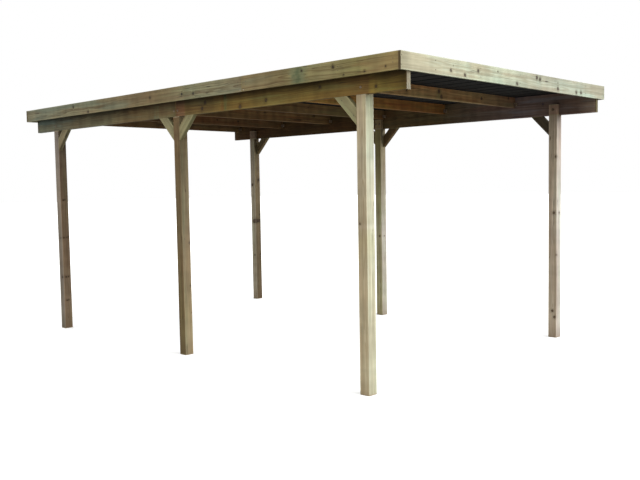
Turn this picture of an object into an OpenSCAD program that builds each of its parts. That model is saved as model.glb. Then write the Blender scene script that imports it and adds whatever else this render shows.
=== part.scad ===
// Open timber carport for one car: six posts, two long side beams, cross rafters,
// a profiled sheet roof and fascia boards all round.
// Millimetres, +Z up. Origin at the middle of the ground plan, on the ground.
// The front end faces -Y, the left side is -X.

/* [Posts] */
// side of the square post timber
post_size = 95; // [70:1:140]
// clear width between the left and right rows of posts
bay_width = 2965; // [2200:5:5400]
// distance between post centres along the carport
post_pitch = 2365; // [1800:5:3200]
// clear height under the side beams
headroom = 2340; // [1900:5:2800]

/* [Side beams] */
// height of a side beam
beam_height = 225; // [170:1:270]
// thickness of a side beam
beam_thick = 45; // [35:1:60]
// beam length standing out past the front posts
front_overhang = 395; // [250:5:600]
// beam length standing out past the rear posts
rear_overhang = 395; // [250:5:600]

/* [Knee braces] */
// length of the long edge along the post and along the beam
brace_leg = 230; // [150:1:400]
// width of the brace timber across its slope
brace_width = 95; // [60:1:105]
// thickness of the brace timber
brace_thick = 45; // [22:1:60]

/* [Rafters] */
// number of cross rafters behind the front rail
rafter_count = 6; // [3:1:12]
// height of a rafter
rafter_height = 110; // [80:1:140]
// thickness of a rafter
rafter_thick = 45; // [35:1:60]
// height of the rail between the front ends of the beams
rail_height = 80; // [50:1:95]
// distance from the last rafter to the rear ends of the beams
rear_setback = 85; // [40:1:200]
// free height between the post tops and the rafters
tongue_gap = 5; // [2:1:20]

/* [Edge battens] */
// width of the batten between beam and fascia board
batten_width = 75; // [50:1:120]
// height of the batten
batten_height = 45; // [30:1:60]

/* [Fascia boards] */
// height of the fascia boards
fascia_height = 135; // [100:1:180]
// thickness of the fascia boards
fascia_thick = 22; // [16:1:32]
// how far the boards stand above the side beams
fascia_rise = 42; // [30:1:80]
// length of the short side board at the front end
front_board_length = 1715; // [1200:5:2600]
// open slot between the beam ends and the rear board
drip_gap = 60; // [20:1:120]

/* [Roof sheets] */
// number of sheets side by side
sheet_count = 3; // [2:1:6]
// thickness of the sheet
sheet_thick = 3; // [2:0.5:6]
// raised ribs on one sheet
ribs_per_sheet = 5; // [3:1:8]
// height of a rib above the flat of the sheet
rib_height = 18; // [10:1:28]
// width of a rib at its foot
rib_foot = 62; // [40:1:80]
// width of a rib at its crown
rib_crown = 28; // [16:1:40]
// free gap between neighbouring sheets and at the side boards
sheet_gap = 2; // [1:0.5:6]
// free gap between the front board and the sheets
front_gap = 3; // [1:0.5:10]
// sheet length standing out past the rear ends of the beams
sheet_overhang = 35; // [10:1:60]

/* [Coach bolts] */
// radius of the bolt shank
bolt_radius = 5; // [4:0.5:8]
// radial clearance of the bolt in its hole
bolt_clearance = 0.5; // [0.3:0.1:1]
// radius of the domed head
head_radius = 12; // [9:0.5:18]
// height of the domed head
head_height = 5; // [3:0.5:8]
// distance of each middle bolt from the beam joint
joint_offset = 28; // [20:1:36]
// radius of the washer
washer_radius = 15; // [11:0.5:20]
// thickness of the washer
washer_thick = 2.5; // [1.5:0.5:4]
// height of the nut
nut_height = 8; // [6:0.5:12]

/* [Hidden] */
half_bay = bay_width / 2;
post_outer = half_bay + post_size;
beam_inner = post_outer - beam_thick;
beam_length = 2 * post_pitch + post_size + front_overhang + rear_overhang;
overall_depth = beam_length + drip_gap + 2 * fascia_thick;
beam_front = fascia_thick - overall_depth / 2;
beam_rear = beam_front + beam_length;
roof_line = headroom + beam_height;
tongue_height = beam_height - rafter_height - tongue_gap;
rafter_pitch = (beam_length - rafter_thick - rear_setback) / rafter_count;
fascia_inner = post_outer + batten_width;
fascia_outer = fascia_inner + fascia_thick;
fascia_bottom = roof_line + fascia_rise - fascia_height;
board_rear = beam_rear + drip_gap;
sheet_cover = (2 * fascia_inner - 2 * sheet_gap) / sheet_count;
sheet_front = beam_front + front_gap;
sheet_length = beam_rear + sheet_overhang - sheet_front;
rib_pitch = sheet_cover / ribs_per_sheet;
bolt_height = headroom + tongue_height / 2;

timber = [0.52, 0.47, 0.33];
pale_timber = [0.74, 0.72, 0.58];
dark_timber = [0.36, 0.27, 0.17];
sheet_colour = [0.14, 0.16, 0.19];
zinc = [0.7, 0.71, 0.72];

$fn = 48;

function post_y(row) = beam_front + front_overhang + post_size / 2 + row * post_pitch;
function bolt_rows(row) = row == 1 ? [-joint_offset, joint_offset] : [0];
function rib_x(rib) = (rib + 0.5) * rib_pitch - sheet_gap / 2;

// A square post whose top is cut back on the outside, so that the side beam
// rests on the shoulder and the inner half runs up behind the beam.
module post(row, side) {
  color(timber)
    difference() {
      translate([side * (half_bay + post_size / 2) - post_size / 2,
                 post_y(row) - post_size / 2, 0])
        cube([post_size, post_size, headroom + tongue_height]);
      translate([side > 0 ? beam_inner : -post_outer - 1,
                 post_y(row) - post_size / 2 - 1, headroom])
        cube([beam_thick + 1, post_size + 2, tongue_height + 1]);
      for (dy = bolt_rows(row))
        bolt_hole(row, side, dy);
    }
}

// Clearance hole for a coach bolt, right through beam and post top.
module bolt_hole(row, side, dy) {
  translate([side * (half_bay + post_size / 2), post_y(row) + dy, bolt_height])
    rotate([0, 90, 0])
      cylinder(r = bolt_radius + bolt_clearance, h = 2 * post_size, center = true);
}

// One length of a side beam, from one end to the joint over the middle post.
module beam(side, first) {
  y_low = first ? beam_front : post_y(1);
  y_high = first ? post_y(1) : beam_rear;
  color(timber)
    difference() {
      translate([side > 0 ? beam_inner : -post_outer, y_low, headroom])
        cube([beam_thick, y_high - y_low, beam_height]);
      bolt_hole(first ? 0 : 2, side, 0);
      bolt_hole(1, side, first ? -joint_offset : joint_offset);
    }
}

// Straight knee brace between post and beam, flush with the outer post face.
// way = 1 runs to the rear, way = -1 runs to the front.
module brace(row, side, way) {
  face = way * post_size / 2;
  cut = brace_width * sqrt(2);
  color(pale_timber)
    translate([side > 0 ? post_outer - brace_thick : -post_outer, post_y(row), headroom])
      rotate([90, 0, 90])
        linear_extrude(height = brace_thick)
          polygon([[face, -brace_leg],
                   [face + way * brace_leg, 0],
                   [face + way * (brace_leg - cut), 0],
                   [face, cut - brace_leg]]);
}

// Cross timber between the two side beams, top flush with them. Place 0 is
// the lower rail at the front ends, the rafters follow at an even pitch.
module rafter(place) {
  height = place == 0 ? rail_height : rafter_height;
  color(dark_timber)
    translate([-beam_inner, beam_front + place * rafter_pitch, roof_line - height])
      cube([2 * beam_inner, rafter_thick, height]);
}

// Batten along the outside of a side beam, carrying board and sheet edge.
module edge_batten(side) {
  color(dark_timber)
    translate([side > 0 ? post_outer : -fascia_inner, beam_front, roof_line - batten_height])
      cube([batten_width, beam_length, batten_height]);
}

// Board across one end, covering the ends of the side boards.
module end_board(y_low) {
  color(pale_timber)
    translate([-fascia_outer, y_low, fascia_bottom])
      cube([2 * fascia_outer, fascia_thick, fascia_height]);
}

// Side board in two lengths that meet end to end.
module side_board(side, first) {
  y_low = first ? beam_front : beam_front + front_board_length;
  y_high = first ? beam_front + front_board_length : board_rear;
  color(timber)
    translate([side > 0 ? fascia_inner : -fascia_outer, y_low, fascia_bottom])
      cube([fascia_thick, y_high - y_low, fascia_height]);
}

// Flat of one sheet with raised ribs running from front to rear.
module roof_sheet(place) {
  width = sheet_cover - sheet_gap;
  lower = concat([[0, 0]],
    [for (i = [0 : ribs_per_sheet - 1], k = [0 : 3])
      [rib_x(i) + (k < 2 ? -1 : 1) * (k == 0 || k == 3 ? rib_foot : rib_crown) / 2,
       k == 0 || k == 3 ? 0 : rib_height - sheet_thick]],
    [[width, 0]]);
  upper = concat([[width, sheet_thick]],
    [for (i = [ribs_per_sheet - 1 : -1 : 0], k = [3 : -1 : 0])
      [rib_x(i) + (k < 2 ? -1 : 1) * (k == 0 || k == 3 ? rib_foot : rib_crown) / 2,
       k == 0 || k == 3 ? sheet_thick : rib_height]],
    [[0, sheet_thick]]);
  color(sheet_colour)
    translate([-fascia_inner + 1.5 * sheet_gap + place * sheet_cover,
               sheet_front + sheet_length, roof_line])
      rotate([90, 0, 0])
        linear_extrude(height = sheet_length)
          polygon(concat(lower, upper));
}

// Coach bolts of one post: domed head outside, washer and nut inside.
module bolts(row, side) {
  grip = post_size;
  color(zinc)
    for (dy = bolt_rows(row))
      translate([side * post_outer, post_y(row) + dy, bolt_height])
        rotate([0, side * 90, 0]) {
          rotate_extrude()
            polygon([[0, -grip - 1], [bolt_radius, -grip - 1], [bolt_radius, 0],
                     [head_radius, 0], [head_radius * 0.86, head_height * 0.55],
                     [head_radius * 0.5, head_height * 0.92], [0, head_height]]);
          translate([0, 0, -grip - washer_thick])
            cylinder(r = washer_radius, h = washer_thick);
          translate([0, 0, -grip - washer_thick - nut_height])
            cylinder(r = bolt_radius * 1.85, h = nut_height, $fn = 6);
          translate([0, 0, -grip - washer_thick - nut_height - bolt_radius])
            cylinder(r = bolt_radius, h = nut_height + bolt_radius);
        }
}

module post_front_left() { post(0, -1); }
module post_middle_left() { post(1, -1); }
module post_rear_left() { post(2, -1); }
module post_front_right() { post(0, 1); }
module post_middle_right() { post(1, 1); }
module post_rear_right() { post(2, 1); }

module beam_left_front() { beam(-1, true); }
module beam_left_rear() { beam(-1, false); }
module beam_right_front() { beam(1, true); }
module beam_right_rear() { beam(1, false); }

module brace_front_left() { brace(0, -1, 1); }
module brace_middle_left_fore() { brace(1, -1, -1); }
module brace_middle_left_aft() { brace(1, -1, 1); }
module brace_rear_left() { brace(2, -1, -1); }
module brace_front_right() { brace(0, 1, 1); }
module brace_middle_right_fore() { brace(1, 1, -1); }
module brace_middle_right_aft() { brace(1, 1, 1); }
module brace_rear_right() { brace(2, 1, -1); }

module front_rail() { rafter(0); }
module rafter_1() { rafter(1); }
module rafter_2() { rafter(2); }
module rafter_3() { rafter(3); }
module rafter_4() { rafter(4); }
module rafter_5() { rafter(5); }
module rafter_6() { rafter(6); }

module edge_batten_left() { edge_batten(-1); }
module edge_batten_right() { edge_batten(1); }

module fascia_front() { end_board(beam_front - fascia_thick); }
module fascia_rear() { end_board(board_rear); }
module fascia_left_front() { side_board(-1, true); }
module fascia_left_rear() { side_board(-1, false); }
module fascia_right_front() { side_board(1, true); }
module fascia_right_rear() { side_board(1, false); }

module roof_sheet_left() { roof_sheet(0); }
module roof_sheet_middle() { roof_sheet(1); }
module roof_sheet_right() { roof_sheet(2); }

module bolts_front_left() { bolts(0, -1); }
module bolts_middle_left() { bolts(1, -1); }
module bolts_rear_left() { bolts(2, -1); }
module bolts_front_right() { bolts(0, 1); }
module bolts_middle_right() { bolts(1, 1); }
module bolts_rear_right() { bolts(2, 1); }

post_front_left();
post_middle_left();
post_rear_left();
post_front_right();
post_middle_right();
post_rear_right();
beam_left_front();
beam_left_rear();
beam_right_front();
beam_right_rear();
brace_front_left();
brace_middle_left_fore();
brace_middle_left_aft();
brace_rear_left();
brace_front_right();
brace_middle_right_fore();
brace_middle_right_aft();
brace_rear_right();
front_rail();
rafter_1();
rafter_2();
rafter_3();
rafter_4();
rafter_5();
rafter_6();
edge_batten_left();
edge_batten_right();
fascia_front();
fascia_rear();
fascia_left_front();
fascia_left_rear();
fascia_right_front();
fascia_right_rear();
roof_sheet_left();
roof_sheet_middle();
roof_sheet_right();
bolts_front_left();
bolts_middle_left();
bolts_rear_left();
bolts_front_right();
bolts_middle_right();
bolts_rear_right();
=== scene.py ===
"""An open timber carport: posts, beams, braces, rafters, boards, sheets and fixings.

Every sawn timber is a rounded rectangle carried along its middle line, and keeps
its place in the log it was cut from, so that the growth rings, the figure on the
faces, the end grain and the knots all belong together.
"""

import logging
import math
from dataclasses import dataclass, field, replace
from enum import Enum
from typing import Any, Iterable, Mapping, Sequence

import bpy
import numpy as np
from mathutils import Matrix, Vector


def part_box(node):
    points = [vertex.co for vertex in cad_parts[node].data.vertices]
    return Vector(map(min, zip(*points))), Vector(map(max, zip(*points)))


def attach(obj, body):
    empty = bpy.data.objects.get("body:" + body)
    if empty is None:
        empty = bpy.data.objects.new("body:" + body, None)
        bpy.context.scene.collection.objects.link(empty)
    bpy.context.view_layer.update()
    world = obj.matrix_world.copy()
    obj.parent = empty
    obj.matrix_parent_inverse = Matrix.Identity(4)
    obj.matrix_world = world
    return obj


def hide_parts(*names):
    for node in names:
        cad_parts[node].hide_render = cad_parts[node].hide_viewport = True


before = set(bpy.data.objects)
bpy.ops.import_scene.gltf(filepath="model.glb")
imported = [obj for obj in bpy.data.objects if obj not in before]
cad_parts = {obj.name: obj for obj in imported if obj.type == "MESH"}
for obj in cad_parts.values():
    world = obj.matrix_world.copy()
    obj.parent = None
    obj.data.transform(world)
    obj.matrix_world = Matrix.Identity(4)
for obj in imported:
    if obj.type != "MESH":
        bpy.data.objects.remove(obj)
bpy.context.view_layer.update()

LOG = logging.getLogger("carport")
BODY = "root"

Colour = tuple[float, float, float]
PLAIN: Colour = (1.0, 1.0, 1.0)
BARE_END = (0.0, 0.0)


class Side(Enum):
    """The two long sides of the carport, by the sign of X."""

    LEFT = -1
    RIGHT = 1

    @property
    def word(self) -> str:
        """The side's name as the nodes spell it."""
        return self.name.lower()

    @staticmethod
    def of(low: Sequence[float]) -> "Side":
        """The side that a box with this lowest corner is on."""
        return Side.LEFT if low[0] < 0 else Side.RIGHT

    def outer(self, low: Sequence[float], high: Sequence[float]) -> float:
        """X of the face of a box that looks away from the middle of the carport."""
        return low[0] if self is Side.LEFT else high[0]


class Lie(Enum):
    """The direction a straight timber runs in: its length, then the axis across it."""

    WIDTH = (0, 1)
    DEPTH = (1, 2)
    HEIGHT = (2, 0)

    @property
    def along(self) -> np.ndarray:
        """Unit vector of the length."""
        return np.eye(3)[self.value[0]]

    @property
    def across(self) -> np.ndarray:
        """Unit vector of the first cross direction."""
        return np.eye(3)[self.value[1]]


# --------------------------------------------------------------------------- meshes


@dataclass
class Patch:
    """A piece of surface as whole arrays, with any number of named layers.

    Attributes:
        points: Corner places, one row of x, y, z each, in metres.
        quads: Four corner numbers a row.
        triangles: Three corner numbers a row.
        layers: Values by name, one row a corner.
    """

    points: np.ndarray
    quads: np.ndarray
    triangles: np.ndarray = field(default_factory=lambda: np.empty((0, 3), int))
    layers: dict[str, np.ndarray] = field(default_factory=dict)

    @staticmethod
    def joined(patches: Iterable["Patch"]) -> "Patch":
        """Puts several patches into one.

        Args:
            patches: Patches that carry the same layers.

        Returns:
            One patch with the corner numbers shifted to suit.
        """
        parts = list(patches)
        starts = np.cumsum([0] + [len(part.points) for part in parts[:-1]])
        return Patch(
            np.concatenate([part.points for part in parts]),
            np.concatenate([part.quads + start for part, start in zip(parts, starts)]),
            np.concatenate([part.triangles + start for part, start in zip(parts, starts)]),
            {key: np.concatenate([part.layers[key] for part in parts]) for key in parts[0].layers},
        )

    def placed(self, origin: Sequence[float], axis: Sequence[float]) -> "Patch":
        """A copy turned so that its own Z points along axis, with its zero point moved to origin."""
        turn = np.array(Vector(axis).to_track_quat("Z", "Y").to_matrix())
        return Patch(self.points @ turn.T + np.asarray(origin), self.quads, self.triangles, self.layers)

    def to_object(self, name: str, material: bpy.types.Material) -> bpy.types.Object:
        """Makes the Blender object with flat faces, riding on the carport's one body.

        Args:
            name: Name of the piece.
            material: Its finish.

        Returns:
            The new object.
        """
        mesh = bpy.data.meshes.new(name)
        order = np.concatenate([self.quads.ravel(), self.triangles.ravel()]).astype(np.int32)
        sizes = np.concatenate([np.full(len(self.quads), 4), np.full(len(self.triangles), 3)])
        mesh.vertices.add(len(self.points))
        mesh.vertices.foreach_set("co", self.points.astype(np.float32).ravel())
        mesh.loops.add(len(order))
        mesh.loops.foreach_set("vertex_index", order)
        mesh.polygons.add(len(sizes))
        mesh.polygons.foreach_set("loop_start", (np.cumsum(sizes) - sizes).astype(np.int32))
        mesh.update(calc_edges=True)
        mesh.polygons.foreach_set("use_smooth", np.zeros(len(sizes), bool))
        for key, values in self.layers.items():
            kind, slot = ("FLOAT_VECTOR", "vector") if values.ndim == 2 else ("FLOAT", "value")
            mesh.attributes.new(key, kind, "POINT").data.foreach_set(slot, values.astype(np.float32).ravel())
        mesh.materials.append(material)
        thing = bpy.data.objects.new(name, mesh)
        bpy.context.scene.collection.objects.link(thing)
        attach(thing, BODY)
        return thing


def grid_quads(rows: int, columns: int, wrap: bool) -> np.ndarray:
    """Quads of a grid whose corner number is row times columns plus column.

    Args:
        rows: Corner rows.
        columns: Corners in a row.
        wrap: Whether the last column joins the first.

    Returns:
        Four corner numbers a row, each quad running along its row first.
    """
    steps = columns if wrap else columns - 1
    row, column = np.meshgrid(np.arange(rows - 1), np.arange(steps), indexing="ij")
    near = row * columns
    far, right = near + columns, (column + 1) % columns
    return np.stack([near + column, near + right, far + right, far + column], axis=-1).reshape(-1, 4)


def rounded_rectangle(
    half_a: float, half_b: float, radius: float, cell: float
) -> tuple[np.ndarray, np.ndarray]:
    """Outline of a sawn section: straight sides joined by quarter circles.

    Args:
        half_a: Half the size along the first axis.
        half_b: Half the size along the second axis.
        radius: Radius of the corners.
        cell: Longest wanted step along a side.

    Returns:
        Outline points running anticlockwise, and how much each is on a corner.
    """
    turn = np.linspace(0.0, math.pi / 2, 4)
    pieces, marks = [], []
    for quarter in range(4):
        start = quarter * math.pi / 2
        flat, side_half = (half_a, half_b) if quarter % 2 == 0 else (half_b, half_a)
        reach = side_half - radius
        steps = max(1, round(2 * reach / cell))
        slide = np.linspace(-reach, reach, steps + 1)[1:-1]
        out, side = (math.cos(start), math.sin(start)), (-math.sin(start), math.cos(start))
        pieces.append(np.outer(np.full(len(slide), flat), out) + np.outer(slide, side))
        marks.append(np.zeros(len(slide)))
        centre = np.array(out) * (flat - radius) + np.array(side) * reach
        arc = np.stack([np.cos(start + turn), np.sin(start + turn)], axis=1) * radius
        pieces.append(centre + arc)
        marks.append(np.ones(len(turn)))
    return np.concatenate(pieces), np.concatenate(marks)


ON_AXIS = 0.0001  # radius of the tiny circle that closes a turned shape at its axis


def turned(profile: Sequence[tuple[float, float]], segments: int) -> Patch:
    """Surface of revolution: point = (r cos w, r sin w, h) for each (r, h) of the profile.

    Args:
        profile: Radius and height pairs, from the top middle down and round to the bottom middle.
        segments: Steps round the axis.

    Returns:
        The closed patch about its own Z axis.
    """
    radius, height = np.array(profile).T
    angle = np.linspace(0.0, 2 * math.pi, segments, endpoint=False)
    x, y = np.outer(radius, np.cos(angle)), np.outer(radius, np.sin(angle))
    z = np.repeat(height[:, None], segments, 1)
    quads = grid_quads(len(radius), segments, wrap=True)[:, ::-1]
    return Patch(np.stack([x, y, z], axis=-1).reshape(-1, 3), quads)


# --------------------------------------------------------------------------- timber

LONG_WAVE = 0.0004  # height of the slow bend of a timber's faces
SHORT_WAVE = 0.0002  # height of the shorter wave on it
SWAY = 0.0006  # the most that both together move a face
NO_KNOT = 6.0  # distance from a knot, in its radii, past which it doesn't show
KNOT_LEAN = 0.18  # how far a branch climbs for each metre outward
CLEAR = 30.0  # a knot gap longer than any timber, which leaves it without scattered knots
LOG_STEP = 7.31  # distance between the timbers in the one long log that their grain is read from
LOG_LENGTH = 53.0  # length of that log, after which the timbers start again at its low end


@dataclass(frozen=True)
class Knot:
    """A branch that grew through the timber.

    Attributes:
        along: Distance from the low end, in metres.
        across: Where it comes out, from the middle line along the first cross axis.
        over: The same along the second cross axis.
        radius: Radius where it comes out.
    """

    along: float
    across: float
    over: float
    radius: float


@dataclass(frozen=True)
class Stain:
    """A patch of other colour right across a face.

    Attributes:
        along: Distance of its middle from the low end, in metres.
        reach: How far it spreads to each side.
        strength: From 1, full grey-green, to -1, full warm brown.
    """

    along: float
    reach: float
    strength: float


@dataclass(frozen=True)
class Stick:
    """A straight sawn timber about its middle line.

    Attributes:
        start: Middle of the low end.
        along: Unit vector of the length.
        across: Unit vector of the first cross axis.
        length: Length on the middle line.
        half_across: Half the size on the first cross axis.
        half_over: Half the size on the second cross axis.
        pith: Where the middle of the log lay, in the two cross axes.
        seed: Number that fixes this timber's own knots and waviness.
        arris: Radius of the long edges.
        cell: Mesh step along and round, in metres.
        low_cut: How far the low end moves along, a metre across and a metre over.
        high_cut: The same for the high end.
        knot_gap: Usual distance between whorls of knots.
        tone: Colour of this piece beside the common finish, partly its own colour and partly painted light
            and shade.
        front: Colour of its low side on the second cross axis beside the piece's colour, partly a tint of
            that face and partly painted light and shade on it; the two high sides take the square root of
            it.
        washes: Slow changes of colour along, partly the wood's own and partly painted light and shade:
            distances along, each with its colour beside the piece's colour.
        grade: Light and dark across, partly painted shade such as the shadow under the fascia on the beams:
            shares of the first half size, each with its brightness.
        ends: Colour of the end faces beside the common finish.
        knots: Knots at chosen places, added to the scattered ones.
        stains: Patches of other colour.
        offset: Place of the low end's middle in a log shared with another stick.
    """

    start: np.ndarray
    along: np.ndarray
    across: np.ndarray
    length: float
    half_across: float
    half_over: float
    pith: tuple[float, float]
    seed: int
    arris: float = 0.0025
    cell: tuple[float, float] = (0.012, 0.009)
    low_cut: tuple[float, float] = (0.0, 0.0)
    high_cut: tuple[float, float] = (0.0, 0.0)
    knot_gap: float = 0.42
    tone: Colour = PLAIN
    front: Colour = PLAIN
    washes: tuple[tuple[float, Colour], ...] = ()
    grade: tuple[tuple[float, float], ...] = ()
    ends: Colour = PLAIN
    knots: tuple[Knot, ...] = ()
    stains: tuple[Stain, ...] = ()
    offset: tuple[float, float, float] = (0.0, 0.0, 0.0)

    @property
    def over(self) -> np.ndarray:
        """Unit vector of the second cross axis."""
        return np.cross(self.along, self.across)

    def all_knots(self, rng: np.random.Generator) -> list[Knot]:
        """The chosen knots and the scattered ones, one to three in each whorl.

        Args:
            rng: This timber's own random numbers.

        Returns:
            Every knot of the timber.
        """
        scatter, out = 0.03, 0.1
        found = list(self.knots)
        place = rng.uniform(0.1, 1.0) * self.knot_gap
        while place < self.length:
            for _ in range(rng.integers(1, 4)):
                bearing = rng.uniform(0.0, 2 * math.pi)
                along = place + rng.normal(0.0, scatter)
                across, over = math.cos(bearing) * out, math.sin(bearing) * out
                radius = rng.uniform(0.007, 0.016)
                found.append(Knot(along, self.pith[0] + across, self.pith[1] + over, radius))
            place += self.knot_gap * rng.uniform(0.6, 1.5)
        return found

    def surface(self) -> Patch:
        """The timber's closed surface.

        Point = start + along s + across a + over b, where (a, b) runs round the
        rounded rectangle and s from the low cut to the high cut. The end faces
        are the same outline drawn in towards its middle in even steps.

        Returns:
            The patch with its grain, knot, arris, tip and stain layers, and its colour layer with painted
            light and shade.
        """
        rng = np.random.default_rng(self.seed)
        outline, corner = rounded_rectangle(self.half_across, self.half_over, self.arris, self.cell[1])
        count = len(outline)
        rows = max(2, round(self.length / self.cell[0]) + 1)
        rings = max(2, round(min(self.half_across, self.half_over) / self.cell[1]))
        shrink = 1.0 - np.arange(1, rings + 1) / (rings + 0.35)
        place = np.concatenate([np.zeros(rings), np.linspace(0.0, 1.0, rows), np.ones(rings)])
        scale = np.concatenate([shrink[::-1], np.ones(rows), shrink])
        a = np.outer(scale, outline[:, 0])
        b = np.outer(scale, outline[:, 1])
        low = a * self.low_cut[0] + b * self.low_cut[1]
        high = self.length + a * self.high_cut[0] + b * self.high_cut[1]
        s = low + place[:, None] * (high - low)
        phase = rng.uniform(0.0, 2 * math.pi, 4)
        run = s + self.offset[2]
        sway_a = LONG_WAVE * np.sin(run * 3.1 + phase[0]) + SHORT_WAVE * np.sin(run * 9.7 + phase[1])
        sway_b = LONG_WAVE * np.sin(run * 2.6 + phase[2]) + SHORT_WAVE * np.sin(run * 8.3 + phase[3])
        points = (
            self.start
            + s[..., None] * self.along
            + (a + sway_a)[..., None] * self.across
            + (b + sway_b)[..., None] * self.over
        )
        quads = grid_quads(len(place), count, wrap=True)
        caps = np.stack([np.arange(count), (np.arange(count) + 1) % count], axis=1)
        middle = len(place) * count
        low_fan = np.column_stack([caps[:, ::-1], np.full(count, middle)])
        high_fan = np.column_stack([caps + (len(place) - 1) * count, np.full(count, middle + 1)])
        ends = np.stack([points[0].mean(0), points[-1].mean(0)])
        local = np.stack([a.ravel(), b.ravel(), s.ravel()], axis=1)
        local = np.concatenate([local, [[0.0, 0.0, 0.0], [0.0, 0.0, self.length]]]) + np.array(self.offset)
        from_pith = local - np.array([self.pith[0], self.pith[1], 0.0])
        capped = np.concatenate([np.repeat((place == 0.0) | (place == 1.0), count), [True, True]])
        layers = {
            "grain": from_pith + np.array([0.0, 0.0, self.seed * LOG_STEP % LOG_LENGTH]),
            "knot": self.knot_distance(from_pith, self.all_knots(rng)),
            "arris": np.concatenate([np.tile(corner, len(place)), BARE_END]),
            "tip": np.concatenate([np.minimum(s - low, high - s).ravel(), BARE_END]),
            "stain": self.stained(local[:, 2]),
            "tone": self.tones(local, capped),
        }
        return Patch(
            np.concatenate([points.reshape(-1, 3), ends]), quads, np.concatenate([low_fan, high_fan]), layers
        )

    def stained(self, along: np.ndarray) -> np.ndarray:
        """How strongly each corner is stained: a bell curve for each stain, added up.

        Args:
            along: Distance of each corner along the log.

        Returns:
            One value a corner.
        """
        total = np.zeros(len(along))
        for stain in self.stains:
            total += stain.strength * np.exp(-(((along - stain.along) / stain.reach) ** 2))
        return total

    def tones(self, local: np.ndarray, capped: np.ndarray) -> np.ndarray:
        """The timber's colour at each corner, with painted light and shade.

        The piece's colour, times the washes along and the grade across drawn straight
        between their places, times the front colour on the low side of the second cross
        axis and its square root on the two high sides; all of these carry painted light
        and shade as well as the wood's colour.

        Args:
            local: Corner places in the log.
            capped: True for the corners of the end faces.

        Returns:
            Three values a corner.
        """
        colour = np.tile(np.array(self.tone, float), (len(local), 1))
        # The washes paint light and shade along the timber as well as its colour, such as darker post tops.
        if self.washes:
            places, colours = zip(*self.washes)
            colour *= np.stack([np.interp(local[:, 2], places, band) for band in zip(*colours)], axis=1)
        across, over = local[:, 0] - self.offset[0], local[:, 1] - self.offset[1]
        # The grade paints shade across the timber; on the beams it is darker towards the top, as the shadow
        # under the fascia.
        if self.grade:
            shares, levels = zip(*self.grade)
            colour *= np.interp(across / self.half_across, shares, levels)[:, None]
        edge = 0.4 * self.arris  # corners this near to a flat face take its colour
        low_side = over < edge - self.half_over
        high_sides = (across > self.half_across - edge) | (over > self.half_over - edge)
        # The front colour and its square root paint light and shade on these faces, as well as a tint of
        # their own.
        colour[low_side] *= np.array(self.front)
        colour[high_sides & ~low_side] *= np.sqrt(self.front)
        colour[capped] = self.ends
        return colour

    def knot_distance(self, from_pith: np.ndarray, knots: Sequence[Knot]) -> np.ndarray:
        """Distance from the nearest knot's middle line, in knot radii.

        Each knot is a cone that starts at the pith and leans up a little.

        Args:
            from_pith: Corner places measured from the pith.
            knots: The timber's knots.

        Returns:
            One distance a corner, at most NO_KNOT.
        """
        nearest = np.full(len(from_pith), NO_KNOT)
        for knot in knots:
            line = np.array([knot.across - self.pith[0], knot.over - self.pith[1], 0.0])
            reach = max(np.linalg.norm(line), 1e-4)
            line = line / reach + np.array([0.0, 0.0, KNOT_LEAN])
            line /= np.linalg.norm(line)
            from_root = from_pith - np.array([0.0, 0.0, knot.along - KNOT_LEAN * reach])
            run = from_root @ line
            aside = np.linalg.norm(from_root - np.outer(run, line), axis=1)
            radius = knot.radius * np.clip(0.35 + 0.65 * run / reach, 0.2, 1.3)
            nearest = np.minimum(nearest, np.where(run > 0.0, aside / radius, NO_KNOT))
        return nearest


def stick_between(low: np.ndarray, high: np.ndarray, lie: Lie, seed: int, **choices: Any) -> Stick:
    """A straight timber that fills the box between two corners.

    Args:
        low: Lowest corner.
        high: Highest corner.
        lie: Direction of its length.
        seed: Number that fixes its knots.
        **choices: Further fields of the stick; pith is a share of the half sizes.

    Returns:
        The stick, drawn in by as much as its faces may sway.
    """
    half = (high - low) / 2
    along, across = lie.value
    over = 3 - along - across
    middle = (low + high) / 2
    middle[along] = low[along]
    sign = float(np.cross(lie.along, lie.across)[over])
    pith = choices.pop("pith", (0.2, -0.15))
    return Stick(
        middle, lie.along, lie.across, 2 * half[along], half[across] - SWAY, half[over] - SWAY,
        (pith[0] * half[across], pith[1] * half[over] * sign), seed, **choices,
    )


# ------------------------------------------------------------------------- finishes


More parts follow.
